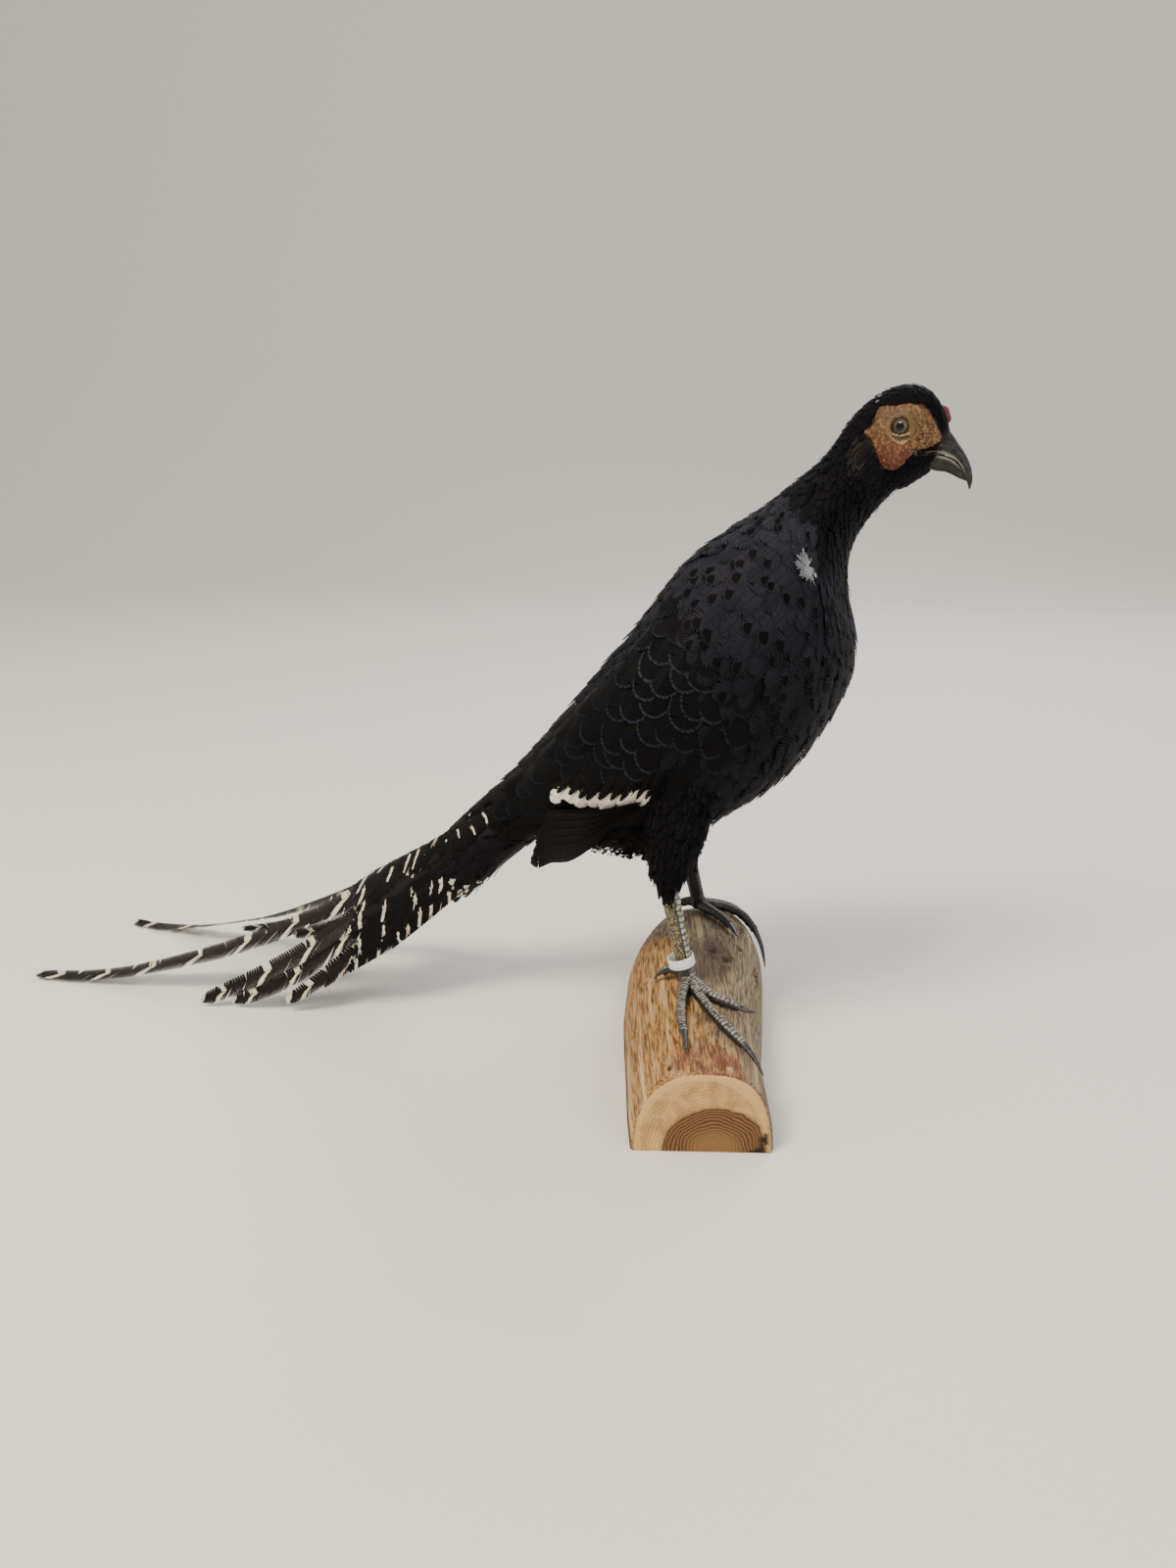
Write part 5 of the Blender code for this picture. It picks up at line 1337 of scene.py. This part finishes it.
def log_marks(along, angle):
    """Relief in mm and stains from 0 to 1: dark, grey and reddish."""
    relief, dark = np.zeros_like(along), np.zeros_like(along)
    for knot_along, knot_angle, long_, round_, rim, hole, stain in KNOTS:
        ahead, beside = (along - knot_along) / long_, (angle - knot_angle) * DEGREE_MM / round_
        away = np.hypot(ahead, beside) * (1 + 0.16 * np.sin(3 * np.arctan2(ahead, beside) + knot_along))
        relief += rim * dent(away - 1.35, 0.55) - hole * ease(1.05, 0.5, away)
        dark = np.maximum(dark, stain * ease(1.15, 0.7, away))
    for (a0, g0), (a1, g1), width, depth in CRACKS:
        t = np.clip(((along - a0) * (a1 - a0) + (angle - g0) * (g1 - g0)) / ((a1 - a0) ** 2 + (g1 - g0) ** 2),
            0, 1)
        away = np.hypot(along - a0 - t * (a1 - a0), angle - g0 - t * (g1 - g0))
        relief -= depth * dent(away, width)
        dark = np.maximum(dark, 0.8 * dent(away, width * 1.2))
    hollow = ease(1.25, 0.55, np.hypot((along - 120) / 34, (angle - 97) * DEGREE_MM / 15))
    relief -= 1.8 * hollow
    arch = 150 + 30 * np.clip(np.abs(angle - 88) / 45, 0, 1) ** 1.6
    far = ease(arch - 0.8, arch + 0.8, along)
    relief -= SAW_STEP * far
    grey = np.clip(ease(70, 104, angle + 0.12 * (along - 60)) * 0.9 + far * 0.8, 0, 1)
    red = ease(34, 10, along) * ease(62, 78, angle) * ease(122, 104, angle)
    return relief, np.maximum(dark, 0.62 * hollow), grey * (1 - 0.5 * red), red


def fibres(along, off, height):
    """Weathered grain: long waves of the fibres, from 0 to 1."""
    return np.array([noise.fractal(Vector((a / 26, b / 1.7, c / 1.7)), 1.0, 2.0, 3)
                     for a, b, c in zip(along, off, height)])


def log_place(u, v):
    along = np.interp(u, [CAP_SHARE, 1 - CAP_SHARE], [0, LOG_LENGTH])
    full = np.interp(u, [0, CAP_SHARE, 1 - CAP_SHARE, 1], [0, 1, 1, 0])
    angle = np.clip(v / (1 - UNDER_SHARE), 0, 1) * 180
    worn = 1.6 * (dent(along, 1.2) + dent(along - LOG_LENGTH, 1.2)) * (full > 0.99)
    relief, dark, grey = log_marks(along, angle)[:3]
    points = log_point(along, angle)
    grain = fibres(*log_local(points)) * (1 - 0.75 * dark) * (0.75 - 0.35 * grey)
    fade = np.sin(np.radians(angle)) ** 0.5 * (full > 0.99)
    inset = (relief + grain * 0.8) * fade - worn - 0.6 * (full > 0.99) * (angle < 20)
    points = log_point(along, angle, np.minimum(inset, 1.2))
    left_foot, right_foot = log_point(along, 0.0, inset), log_point(along, 180.0, inset)
    back = np.clip((v - 1 + UNDER_SHARE) / UNDER_SHARE, 0, 1)[:, None]
    points = np.where(v[:, None] > 1 - UNDER_SHARE, right_foot + (left_foot - right_foot) * back, points)
    points[:, 2] = np.maximum(points[:, 2], 0)
    centre = log_point(along, 90.0) * (1, 1, 0.02)
    return centre + (points - centre) * full[:, None]


def log_material():
    """Weathered barkless wood: ochre where it was rubbed, grey where it lay to the rain; sawn ends
    show pale sapwood and a darker heart, ring by ring."""
    material, tree, shader = start_material("weathered_half_log", Roughness=0.72, Specular_IOR_Level=0.3)
    place = add(tree, "TexCoord")["Object"]
    local = add(tree, "Mapping", {"Vector": place, "Rotation": (0, 0, -LOG_ANGLE)},
        vector_type="POINT")["Vector"]
    shift = LOG_START[0] * math.cos(LOG_ANGLE) + LOG_START[1] * math.sin(LOG_ANGLE)
    start = -LOG_START[0] * math.sin(LOG_ANGLE) + LOG_START[1] * math.cos(LOG_ANGLE)
    local = add(tree, "Mapping", {"Vector": local, "Location": (-shift * MM, -start * MM, 0)})["Vector"]
    marks = add(tree, "SeparateColor", {0: add(tree, "Attribute", attribute_name="marks")["Color"]})
    dark, grey, red = (marks[i] for i in range(3))
    sawn = add(tree, "SeparateColor", {0: add(tree, "Attribute", attribute_name="sawn")["Color"]})
    rim, crack = sawn[0], sawn[1]
    along = add(tree, "Mapping", {"Vector": local, "Scale": (1, 0.06, 1)})["Vector"]
    grain = add(tree, "TexNoise", {"Vector": along, "Scale": 1 / (1.1 * MM), "Detail": 6.0,
        "Roughness": 0.7})["Fac"]
    broad = add(tree, "TexNoise", {"Vector": along, "Scale": 1 / (7 * MM), "Detail": 3.0})["Fac"]
    blotch = add(tree, "TexNoise", {"Vector": local, "Scale": 1 / (16 * MM), "Detail": 4.0})["Fac"]
    amount = add(tree, "MapRange", (grain, 0.41, 0.6), **SOFT)[0]
    ochre = add(tree, "Mix", {0: amount, 6: colour("#5d3d1f"), 7: colour("#b98f55")}, **TINTS)[2]
    amount = add(tree, "MapRange", (broad, 0.5, 0.72), **SOFT)[0]
    ochre = add(tree, "Mix", {0: amount, 6: ochre, 7: colour("#cdb184")}, **TINTS)[2]
    amount = add(tree, "MapRange", (grain, 0.36, 0.64), **SOFT)[0]
    aged = add(tree, "Mix", {0: amount, 6: colour("#41352a"), 7: colour("#978467")}, **TINTS)[2]
    amount = add(tree, "MapRange", (broad, 0.55, 0.75), **SOFT)[0]
    aged = add(tree, "Mix", {0: amount, 6: aged, 7: colour("#b9a27c")}, **TINTS)[2]
    share = add(tree, "Math", (grey, add(tree, "Math",
        (add(tree, "Math", (blotch, 0.5), operation="SUBTRACT")[0], 1.2), operation="MULTIPLY")[0]),
        operation="ADD")[0]
    share = add(tree, "MapRange", (share, 0.3, 0.75), **SOFT)[0]
    wood = add(tree, "Mix", {0: share, 6: ochre, 7: aged}, **TINTS)[2]
    amount = add(tree, "MapRange", (grain, 0.4, 0.6), **SOFT)[0]
    rusty = add(tree, "Mix", {0: amount, 6: colour("#5a3322"), 7: colour("#8d5f45")}, **TINTS)[2]
    amount = add(tree, "Math", (red, add(tree, "MapRange", (blotch, 0.38, 0.55), **SOFT)[0]),
        operation="MULTIPLY")[0]
    wood = add(tree, "Mix", {0: amount, 6: wood, 7: rusty}, **TINTS)[2]
    wood = add(tree, "Mix", {0: dark, 6: wood, 7: colour("#33261b")}, **TINTS)[2]
    heart = add(tree, "Mapping", {"Vector": local, "Location": (-7 * MM, 0, -1 * MM),
        "Scale": (0.92, 0, 1)})["Vector"]
    wobble = add(tree, "TexNoise", {"Vector": heart, "Scale": 1 / (14 * MM), "Detail": 3.0})["Fac"]
    away = add(tree, "VectorMath", {0: heart}, operation="LENGTH")["Value"]
    away = add(tree, "Math", (away, add(tree, "Math", (wobble, 7 * MM), operation="MULTIPLY")[0]),
        operation="ADD")[0]
    rings = add(tree, "Math", (away, 2 * math.pi / (1.8 * MM)), operation="MULTIPLY")[0]
    rings = add(tree, "Math", (rings,), operation="SINE")[0]
    saw = add(tree, "TexNoise", {"Vector": local, "Scale": 1 / (0.7 * MM), "Detail": 3.0})["Fac"]
    cloud = add(tree, "TexNoise", {"Vector": local, "Scale": 1 / (9 * MM), "Detail": 3.0})["Fac"]
    amount = add(tree, "MapRange", (cloud, 0.35, 0.65), **SOFT)[0]
    sap = add(tree, "Mix", {0: amount, 6: colour("#a57c46"), 7: colour("#cfa464")}, **TINTS)[2]
    amount = add(tree, "MapRange", (rings, 0.1, 0.95, 0.0, 0.45), **SOFT)[0]
    sap = add(tree, "Mix", {0: amount, 6: sap, 7: colour("#77552d")}, **TINTS)[2]
    amount = add(tree, "MapRange", (saw, 0.45, 0.65, 0.0, 0.5), **SOFT)[0]
    sap = add(tree, "Mix", {0: amount, 6: sap, 7: colour("#d2b07a")}, **TINTS)[2]
    amount = add(tree, "Math", (rim, add(tree, "Math", (saw, 0.06), operation="MULTIPLY")[0]),
        operation="ADD")[0]
    amount = add(tree, "MapRange", (amount, 0.925, 0.95, 0.0, 0.75), **SOFT)[0]
    sap = add(tree, "Mix", {0: amount, 6: sap, 7: colour("#cfa76b")}, **TINTS)[2]
    amount = add(tree, "MapRange", (rings, -0.6, 0.9), **SOFT)[0]
    core = add(tree, "Mix", {0: amount, 6: colour("#51361c"), 7: colour("#7c5931")}, **TINTS)[2]
    amount = add(tree, "MapRange", (away, 21 * MM, 10 * MM, 0.0, 0.6), **SOFT)[0]
    core = add(tree, "Mix", {0: amount, 6: core, 7: colour("#8e6a3e")}, **TINTS)[2]
    amount = add(tree, "MapRange", (away, 31 * MM, 28.5 * MM), **SOFT)[0]
    face = add(tree, "Mix", {0: amount, 6: sap, 7: core}, **TINTS)[2]
    face = add(tree, "Mix", {0: crack, 6: face, 7: colour("#20140b")}, **TINTS)[2]
    end = add(tree, "SeparateXYZ", {0: local})["Y"]
    near_end = add(tree, "MapRange", (end, 0.5 * MM, 0.15 * MM), **SOFT)[0]
    far_end = add(tree, "MapRange", (end, (LOG_LENGTH - 0.5) * MM, (LOG_LENGTH - 0.15) * MM), **SOFT)[0]
    amount = add(tree, "Math", (near_end, far_end), operation="MAXIMUM")[0]
    wood = add(tree, "Mix", {0: amount, 6: wood, 7: face}, **TINTS)[2]
    tree.links.new(wood, shader.inputs["Base Color"])
    tree.links.new(add(tree, "Bump", {"Height": grain, "Distance": 0.7 * MM, "Strength": 0.8})[0],
        shader.inputs["Normal"])
    return material


log = rolled_grid("half_log", (260, 170), log_place, log_material())
along, off, height = log_local(corner_places(log))
left, right, tall = (smooth(LOG[:, 0], column, along) for column in LOG.T[1:])
half, middle = (left + right) / 2, (right - left) / 2
share = np.clip((middle - off) / half, -1, 1)
angle = np.degrees(np.arccos(np.sign(share) * np.abs(share) ** (np.where(share > 0, LOG_ROUND_LEFT,
    LOG_ROUND_RIGHT) / 2)))
dark, grey, red = log_marks(along, angle)[1:]
paint(log, "marks", dark, grey, red)
rim = np.clip(np.hypot(np.abs((off - middle) / half), np.maximum(height, 0) / tall), 0, 1)
split_off = np.interp(height, [0, 3, 6, 9, 12, 15], [30.5, 32, 34.2, 33.4, 35.0, 36.5])
split_width = np.interp(height, [0, 1.5, 4, 9, 15], [4.6, 3.4, 1.3, 2.0, 0.0])
crack = ease(0.4, -0.4, np.abs(off - split_off) - split_width)
paint(log, "sawn", rim, crack, np.zeros_like(rim))
settle(log, "log_wood", "log")

# %% [markdown]
# ## Legs and feet
# Shank and toes wear horny scales: broad overlapping plates down the front of the shank and over
# the top of each toe, small round ones elsewhere, and soft pads below. Every limb is a grid rolled
# round a bent path. The plates are set in steps along it, as many as its length has room for.

# %% Tools for limbs
FOOT_GAP, PLATE_STEP, SHANK_STEP = 0.6, 2.3, 3.4


def limb(name, centres, sizes, up, relief, material, steps, cell):
    """A limb along `centres`: sizes are its radii across and up at each; relief(mm along, angle from
    the top) is added to them. Its ends are closed. cell is its place on the bake map."""
    centres, keys = np.array(centres, float), np.arange(len(centres))
    fine = np.stack([smooth(keys, column, np.linspace(0, keys[-1], 200)) for column in centres.T], 1)
    walked = np.concatenate([[0], np.cumsum(np.linalg.norm(np.diff(fine, axis=0), axis=1))])

    def place(u, v):
        share = np.interp(u, [0.03, 0.97], [0, 1])
        full = np.interp(u, [0, 0.03, 0.97, 1], [0, 1, 1, 0])
        at = np.interp(share * walked[-1], walked, np.linspace(0, keys[-1], 200))
        middle = np.stack([smooth(keys, column, at) for column in centres.T], 1)
        ahead = (np.stack([smooth(keys, c, np.minimum(at + 0.05, keys[-1])) for c in centres.T], 1)
                 - np.stack([smooth(keys, c, np.maximum(at - 0.05, 0)) for c in centres.T], 1))
        ahead /= np.linalg.norm(ahead, axis=1, keepdims=True)
        beside = np.cross(ahead, up)
        beside /= np.linalg.norm(beside, axis=1, keepdims=True)
        top = np.cross(beside, ahead)
        angle = v * 360 - 180
        across, tall = (smooth(keys, column, at) for column in np.array(sizes, float).T)
        swell = relief(share * walked[-1], angle)
        c, s = np.cos(np.radians(angle)), np.sin(np.radians(angle))
        return middle + full[:, None] * (beside * ((across + swell) * s)[:, None] + top
            * ((tall + swell) * c)[:, None])

    piece = rolled_grid(name, steps, place, material)
    pattern = piece.data.uv_layers.new(name="Plates")
    for corner in pattern.data:
        corner.uv.x *= walked[-1]
    low_u, low_v, wide, tall = cell
    for corner in piece.data.uv_layers["OFBake"].data:
        corner.uv = (low_u + corner.uv.x * wide, low_v + corner.uv.y * tall)
    return piece


def plates(step, reach, depth, rest):
    """Plates over the top, as wide as `reach` degrees each way, and small scales elsewhere."""
    def relief(along, angle):
        on_top = ease(reach + 8, reach - 4, np.abs(angle))
        plate = depth * (1 - (along / step) % 1) ** 0.6
        groove = 0.45 * dent(np.abs(angle) - reach - 4, 6)
        pads = rest * np.sin(along * math.pi / 6.5) ** 2 * ease(115, 150, np.abs(angle))
        return plate * on_top - groove * (reach > 0) + pads
    return relief


def scale_material(name, deep, ridge, behind, step, reach):
    """Horny scales: each plate is pale and worn along its ridge and dark in the joint before the next."""
    material, tree, shader = start_material(name, Roughness=0.42, Specular_IOR_Level=0.45)
    split = add(tree, "SeparateXYZ", {0: add(tree, "UVMap", uv_map="Plates")["UV"]})
    place = add(tree, "TexCoord")["Object"]
    turn = add(tree, "Math", (split["Y"], 0.5), operation="SUBTRACT")[0]
    turn = add(tree, "Math", (turn, 360.0), operation="MULTIPLY")[0]
    turn = add(tree, "Math", (turn,), operation="ABSOLUTE")[0]
    plate = add(tree, "Math", (split["X"], step), operation="DIVIDE")[0]
    plate = add(tree, "Math", (plate,), operation="FRACT")[0]
    worn = add(tree, "TexNoise", {"Vector": place, "Scale": 1 / (2.2 * MM), "Detail": 3.0})["Fac"]
    small = add(tree, "TexVoronoi", {"Vector": place, "Scale": 1 / (1.3 * MM)})["Distance"]
    amount = add(tree, "MapRange", (plate, 0.95, 0.35), **SOFT)[0]
    amount = add(tree, "Math", (amount, add(tree, "MapRange", (worn, 0.3, 0.6), **SOFT)[0]),
        operation="MULTIPLY")[0]
    front = add(tree, "Mix", {0: amount, 6: colour(deep), 7: colour(ridge)}, **TINTS)[2]
    amount = add(tree, "MapRange", (small, 0.6, 0.2), **SOFT)[0]
    back = add(tree, "Mix", {0: amount, 6: colour(deep), 7: colour(behind)}, **TINTS)[2]
    amount = add(tree, "MapRange", (turn, reach - 5.0, reach + 5.0), **SOFT)[0]
    skin = add(tree, "Mix", {0: amount, 6: front, 7: back}, **TINTS)[2]
    joint = add(tree, "Math", (turn, reach + 4.0), operation="SUBTRACT")[0]
    joint = add(tree, "Math", (joint,), operation="ABSOLUTE")[0]
    amount = add(tree, "MapRange", (joint, 11.0, 3.0, 0.0, 0.8), **SOFT)[0]
    skin = add(tree, "Mix", {0: amount, 6: skin, 7: colour("#0f0d0b")}, **TINTS)[2]
    tree.links.new(skin, shader.inputs["Base Color"])
    tree.links.new(add(tree, "Bump", {"Height": small, "Distance": -0.3 * MM, "Strength": 0.7})[0],
        shader.inputs["Normal"])
    return material


# %% Feet and claws
FEET = {1: (-1.8, -25.0), -1: (-7.5, 88.0)}
PAD_RADIUS, PAD_FLATNESS, TOE_ROOT, TOE_TIP, CLAW_TIP, ANKLE = 5.6, 0.72, 3.5, 2.4, 0.35, 9.0
RING_RISE, RING_BACK = 10.2, 1.5            # where the leg ring hangs: up the shank, then back
# name, then x, y and rise over the log of each bend, then of the claw
TOES = {
    1: [("outer", [(-1.8, -33, 0), (-1.8, -49, 0), (0, -65, 0), (3, -79, 0)], [(5, -89, 0), (6.5, -98, 0)]),
        ("middle", [(1.8, -33, 0), (11, -51, 0), (23, -69, 0), (33.5, -79, 0)],
         [(39.5, -84.5, 0), (44.5, -91, 0)]),
        ("inner", [(4.5, -32, 0), (12.5, -41, 0), (21.5, -46, 0.5), (28.5, -46.5, 2)],
         [(33.5, -45.5, 4.5), (37, -43.5, 9)]),
        ("hind", [(-6.5, -22, 3.5), (-12, -19.5, 4.5), (-16, -18, 3.5)],
         [(-19.5, -17, 2), (-21.5, -16.5, 0)])],
    -1: [("inner", [(-2.5, 81, 0), (4, 73, 0), (10.5, 65.5, 0), (15, 59, 0)], [(18, 53, 0), (20.5, 46, 0)]),
         ("middle", [(1, 88, 0), (11, 89, 0), (21, 88, 0.5), (29, 86, 1)], [(34, 84, 1), (37, 81, 0.5)]),
         ("outer", [(-2, 94, 0), (7, 96.5, 0), (15.5, 97, 0), (23, 96, 0)], [(28, 95, 0), (32, 93, 0)]),
         ("hind", [(-13, 90, 2), (-18, 91.5, 2), (-22.5, 93, 1)], [(-26.5, 94.5, 0), (-29.5, 96, 0)])],
}


def claw_material():
    """Claw horn: dark, dull, a little streaked towards the tip."""
    material, tree, shader = start_material("claw_horn", Roughness=0.38, Specular_IOR_Level=0.5)
    place = add(tree, "TexCoord")["Object"]
    cloud = add(tree, "TexNoise", {"Vector": place, "Scale": 1 / (1.5 * MM), "Detail": 3.0})["Fac"]
    tree.links.new(add(tree, "Mix", {0: add(tree, "MapRange", (cloud, 0.35, 0.7), **SOFT)[0],
        6: colour("#1c1a18"), 7: colour("#4a4640")}, **TINTS)[2], shader.inputs["Base Color"])
    tree.links.new(add(tree, "Bump", {"Height": cloud, "Distance": 0.15 * MM, "Strength": 0.5})[0],
        shader.inputs["Normal"])
    return material


# The far (left) foot and shank get the same scales in much darker colours: painted shade on the far leg.
toe_scales = {1: scale_material("silvered_toe_scales", "#211f1d", "#8f8b80", "#2f2b27", PLATE_STEP, 62.0),
              -1: scale_material("shaded_far_toe_scales", "#151413", "#3a3734", "#1d1b19", PLATE_STEP, 62.0)}
shank_scales = {1: scale_material("olive_shank_scales", "#3b3526", "#b0ad9e", "#8d8058", SHANK_STEP, 58.0),
                -1: scale_material("shaded_far_shank_scales", "#141312", "#35322f", "#211e1b", SHANK_STEP, 58.0)}
dark_claw = claw_material()
UP = np.array([0.0, 0.0, 1.0])
for side, side_name in ((1, "right"), (-1, "left")):
    foot = np.array(FEET[side])
    hock = thigh_point(side, 0.0, 0.0) / 2 + thigh_point(side, 0.0, 180.0) / 2
    pad = on_log(*foot, PAD_RADIUS * PAD_FLATNESS + FOOT_GAP)
    parts = []
    for number, (toe_name, bends, claw) in enumerate(TOES[side]):
        root = (foot[0] * 0.75 + bends[0][0] * 0.25, foot[1] * 0.75 + bends[0][1] * 0.25, bends[0][2])
        places, last = [root] + bends + claw, len(bends)
        radii = [TOE_ROOT + (TOE_TIP - TOE_ROOT) * min(i / last, 1) for i in range(len(places))]
        centres = [on_log(x, y, radius + FOOT_GAP) + rise * UP for (x, y, rise), radius in zip(places, radii)]
        knuckle = [1 + 0.06 * (i % 2) for i in range(last + 1)]
        sizes = [(radius * k, radius * k * 0.95) for radius, k in zip(radii, knuckle)]
        parts.append(limb("toe", centres[:last + 1], sizes, UP, plates(PLATE_STEP, 62, 0.34, 0.5),
            toe_scales[side], (96, 28), (0.0, number / 6, 1.0, 0.9 / 6)))
        ahead = centres[last] * 2 - centres[last - 1]
        bend = centres[last] + (centres[last] - centres[last - 1]) * 0.04
        claw_path = [centres[last] + (centres[last - 1] - centres[last]) * 0.12] + [bend] + centres[last + 1:]
        thick = np.linspace(0, 1, len(claw_path))
        claw_sizes = [(2.2 * (1 - t) ** 0.6 + CLAW_TIP, 2.0 * (1 - t) ** 0.65 + CLAW_TIP) for t in thick]
        piece = limb("claw", claw_path, claw_sizes, UP, lambda along, angle: -0.35
            * ease(120, 160, np.abs(angle)), dark_claw, (28, 20), (0.0, 0.0, 1.0, 1.0))
        piece.name = f"horn_claw_{side_name}_{toe_name}"
        settle(piece, "claw_horn", f"claw_{side_name}_{toe_name}")
    toward = (hock - pad) / np.linalg.norm(hock - pad)
    deselect()
    ball = limb("pad", [pad - (0, 0, 3.2), pad, pad + toward * ANKLE], [(4.6, 4.6), (5.4, 5.2), (4.6, 4.2)],
        np.array([1.0, 0, 0]), plates(PLATE_STEP, 62, 0.3, 0.0), toe_scales[side], (40, 40),
        (0.0, 4 / 6, 1.0, 0.9 / 6))
    parts.append(ball)
    settle(join("scaled_foot_" + side_name, parts), "leg_scales", "foot_" + side_name)
    shank = [pad + toward * (ANKLE - 1.5), pad * 0.5 + hock * 0.5, hock, hock + toward * 6]
    piece = limb("scaled_shank_" + side_name, shank, [(4.1, 4.6), (3.7, 4.8), (4.3, 5.4), (4.6, 5.6)],
        np.array([1.0, 0, 0]), plates(SHANK_STEP, 58, 0.4, 0.0), shank_scales[side], (110, 48),
        (0.0, 0.0, 1.0, 1.0))
    settle(piece, "leg_scales", "tarsus_" + side_name)
    if side == 1:
        ring_centre = pad + toward * RING_RISE - (RING_BACK, 0, 0)

# %% [markdown]
# A closed band of white plastic hangs loosely over the right foot. It is an open cylinder given a
# wall and rounded edges, tipped the way it hangs. Wear and dust grey it a little.

# %% Leg ring
RING_RADIUS, RING_WALL, RING_HEIGHT, RING_TILT = 7.9, 0.8, 6.0, math.radians(14)
deselect()
bpy.ops.mesh.primitive_cylinder_add(vertices=72, radius=RING_RADIUS * MM, depth=RING_HEIGHT * MM,
    end_fill_type="NOTHING")
ring = bpy.context.object
ring.name = "plastic_ring"
wall = ring.modifiers.new("wall", "SOLIDIFY")
wall.thickness, wall.offset = RING_WALL * MM, -1.0
edge = ring.modifiers.new("edge", "BEVEL")
edge.width, edge.segments, edge.limit_method = 0.22 * MM, 2, "ANGLE"
for modifier in ("wall", "edge"):
    bpy.ops.object.modifier_apply(modifier=modifier)
ring.rotation_euler = (0, -RING_TILT, 0)
ring.location = Vector(ring_centre) * MM
bpy.ops.object.transform_apply(location=True, rotation=True, scale=True)
bpy.ops.object.shade_smooth_by_angle(angle=math.radians(40))
ring.data.uv_layers[0].name = "OFBake"
plastic, tree, shader = start_material("worn_white_plastic", Roughness=0.38, Specular_IOR_Level=0.5, IOR=1.49)
place = add(tree, "TexCoord")["Object"]
dust = add(tree, "TexNoise", {"Vector": place, "Scale": 1 / (3 * MM), "Detail": 4.0})["Fac"]
tree.links.new(add(tree, "Mix", {0: add(tree, "MapRange", (dust, 0.45, 0.75), **SOFT)[0],
    6: colour("#e6e6e2"), 7: colour("#b9b8b0")}, **TINTS)[2], shader.inputs["Base Color"])
tree.links.new(add(tree, "Bump", {"Height": dust, "Distance": 0.08 * MM, "Strength": 0.5})[0],
    shader.inputs["Normal"])
ring.data.materials.append(plastic)
settle(ring, "ring_plastic", "leg_ring")

# %% [markdown]
# ## Stray feathers
# A mount is never quite tidy. A tuft of down has come through low on the neck, the vent is loose
# fluff, a few pale tips lie on the nape, and the coverts under the tail end in white.

# %% Down, fluff and pale tips
wispy_vanes = [make_vane(rng, 10, 2, split=0.12, clump=1, fray=0.95, sweep=0.6, ragged=0.5, root_width=0.25)
    for _ in range(6)]


def stray(name, material, centre, spread, count, length, half, **settings):
    """A loose group of feathers round one place on the body."""
    roots = np.array(centre) + rng.normal(0, 1, (count, 2)) * spread
    piece = lay(name, body_point, roots, wispy_vanes, length * shag(count, 0.2), half * shag(count, 0.2),
        body_unwrap, material, rng, **settings)
    settle(piece, "body_feathers")


stray("neck_down", white_down, (8.3, 83), (0.03, 1.8), 46, 6.2, 1.4, depth=0.4, lift=0.7, turn=1.5,
      twist=-0.9, tip_lift=2.4)
roots = lattice(body_point, (13.4, 16.4), lambda at: 1.5, lambda at: 1.7, (-180, 180), rng, loose=0.4)
x, side, z = section(*roots.T)
inside = inside_face(x, z)
roots = roots[(inside > 0.3) & (rng.random(len(x)) < 0.7 * ease(108, 114, x)) & (np.abs(side) > 3)]
inside = inside_face(*section(*roots.T)[::2])
piece = lay("lore_bristles", body_point, roots, wispy_vanes, 1.7 * shag(len(roots), 0.2), 0.28, body_unwrap,
    plain_black, rng, depth=0.9, lift=FACE_LIFT * ease(-0.3, 5.5, inside) + 0.25, turn=0.5, camber=0.0)
settle(piece, "head_feathers")
stray("throat_tip", ear_brown, (9.25, 177), (0.05, 4.0), 4, 11, 2.2, depth=0.5, lift=0.5, turn=0.3,
    tip_lift=3.0)
stray("throat_tufts", plain_black, (12.4, 178), (0.9, 15), 30, 6.5, 1.3, depth=0.6, lift=0.3, turn=0.35,
    tip_lift=1.5)
stray("forehead_tufts", plain_black, (15.3, 0), (0.7, 15), 14, 3.6, 0.8, depth=0.3, lift=0.3, turn=0.3,
    tip_lift=0.8)
stray("nape_tips", white_down, (13.0, 22), (0.5, 9), 4, 2.6, 0.7, depth=0.2, lift=0.5, turn=0.3)
for name, side in (("vent_fluff", 1), ("vent_fluff_left", -1)):
    stray(name, plain_black, (3.75, side * 140), (0.28, 14), 60, 20, 3.4, depth=1.0, lift=0.4, turn=0.4,
          twist=side * 0.25, tip_lift=6.0)
UNDERTAIL_COUNT = 70
roots = np.stack([rng.uniform(0.35, 1.5, UNDERTAIL_COUNT), rng.uniform(95, 265, UNDERTAIL_COUNT)], 1)
piece = lay("undertail_coverts", body_point, roots, loose_vanes, 27 * shag(UNDERTAIL_COUNT, 0.12),
            5.5 * shag(UNDERTAIL_COUNT, 0.1), body_unwrap, white_tipped, rng, depth=1.5, lift=0.6, turn=0.2,
            tip_lift=np.abs(rng.normal(0, 1.5, UNDERTAIL_COUNT)),
            mark=(rng.random(UNDERTAIL_COUNT) < 0.5) * (roots[:, 0] < 1.0))
settle(piece, "tail_feathers")
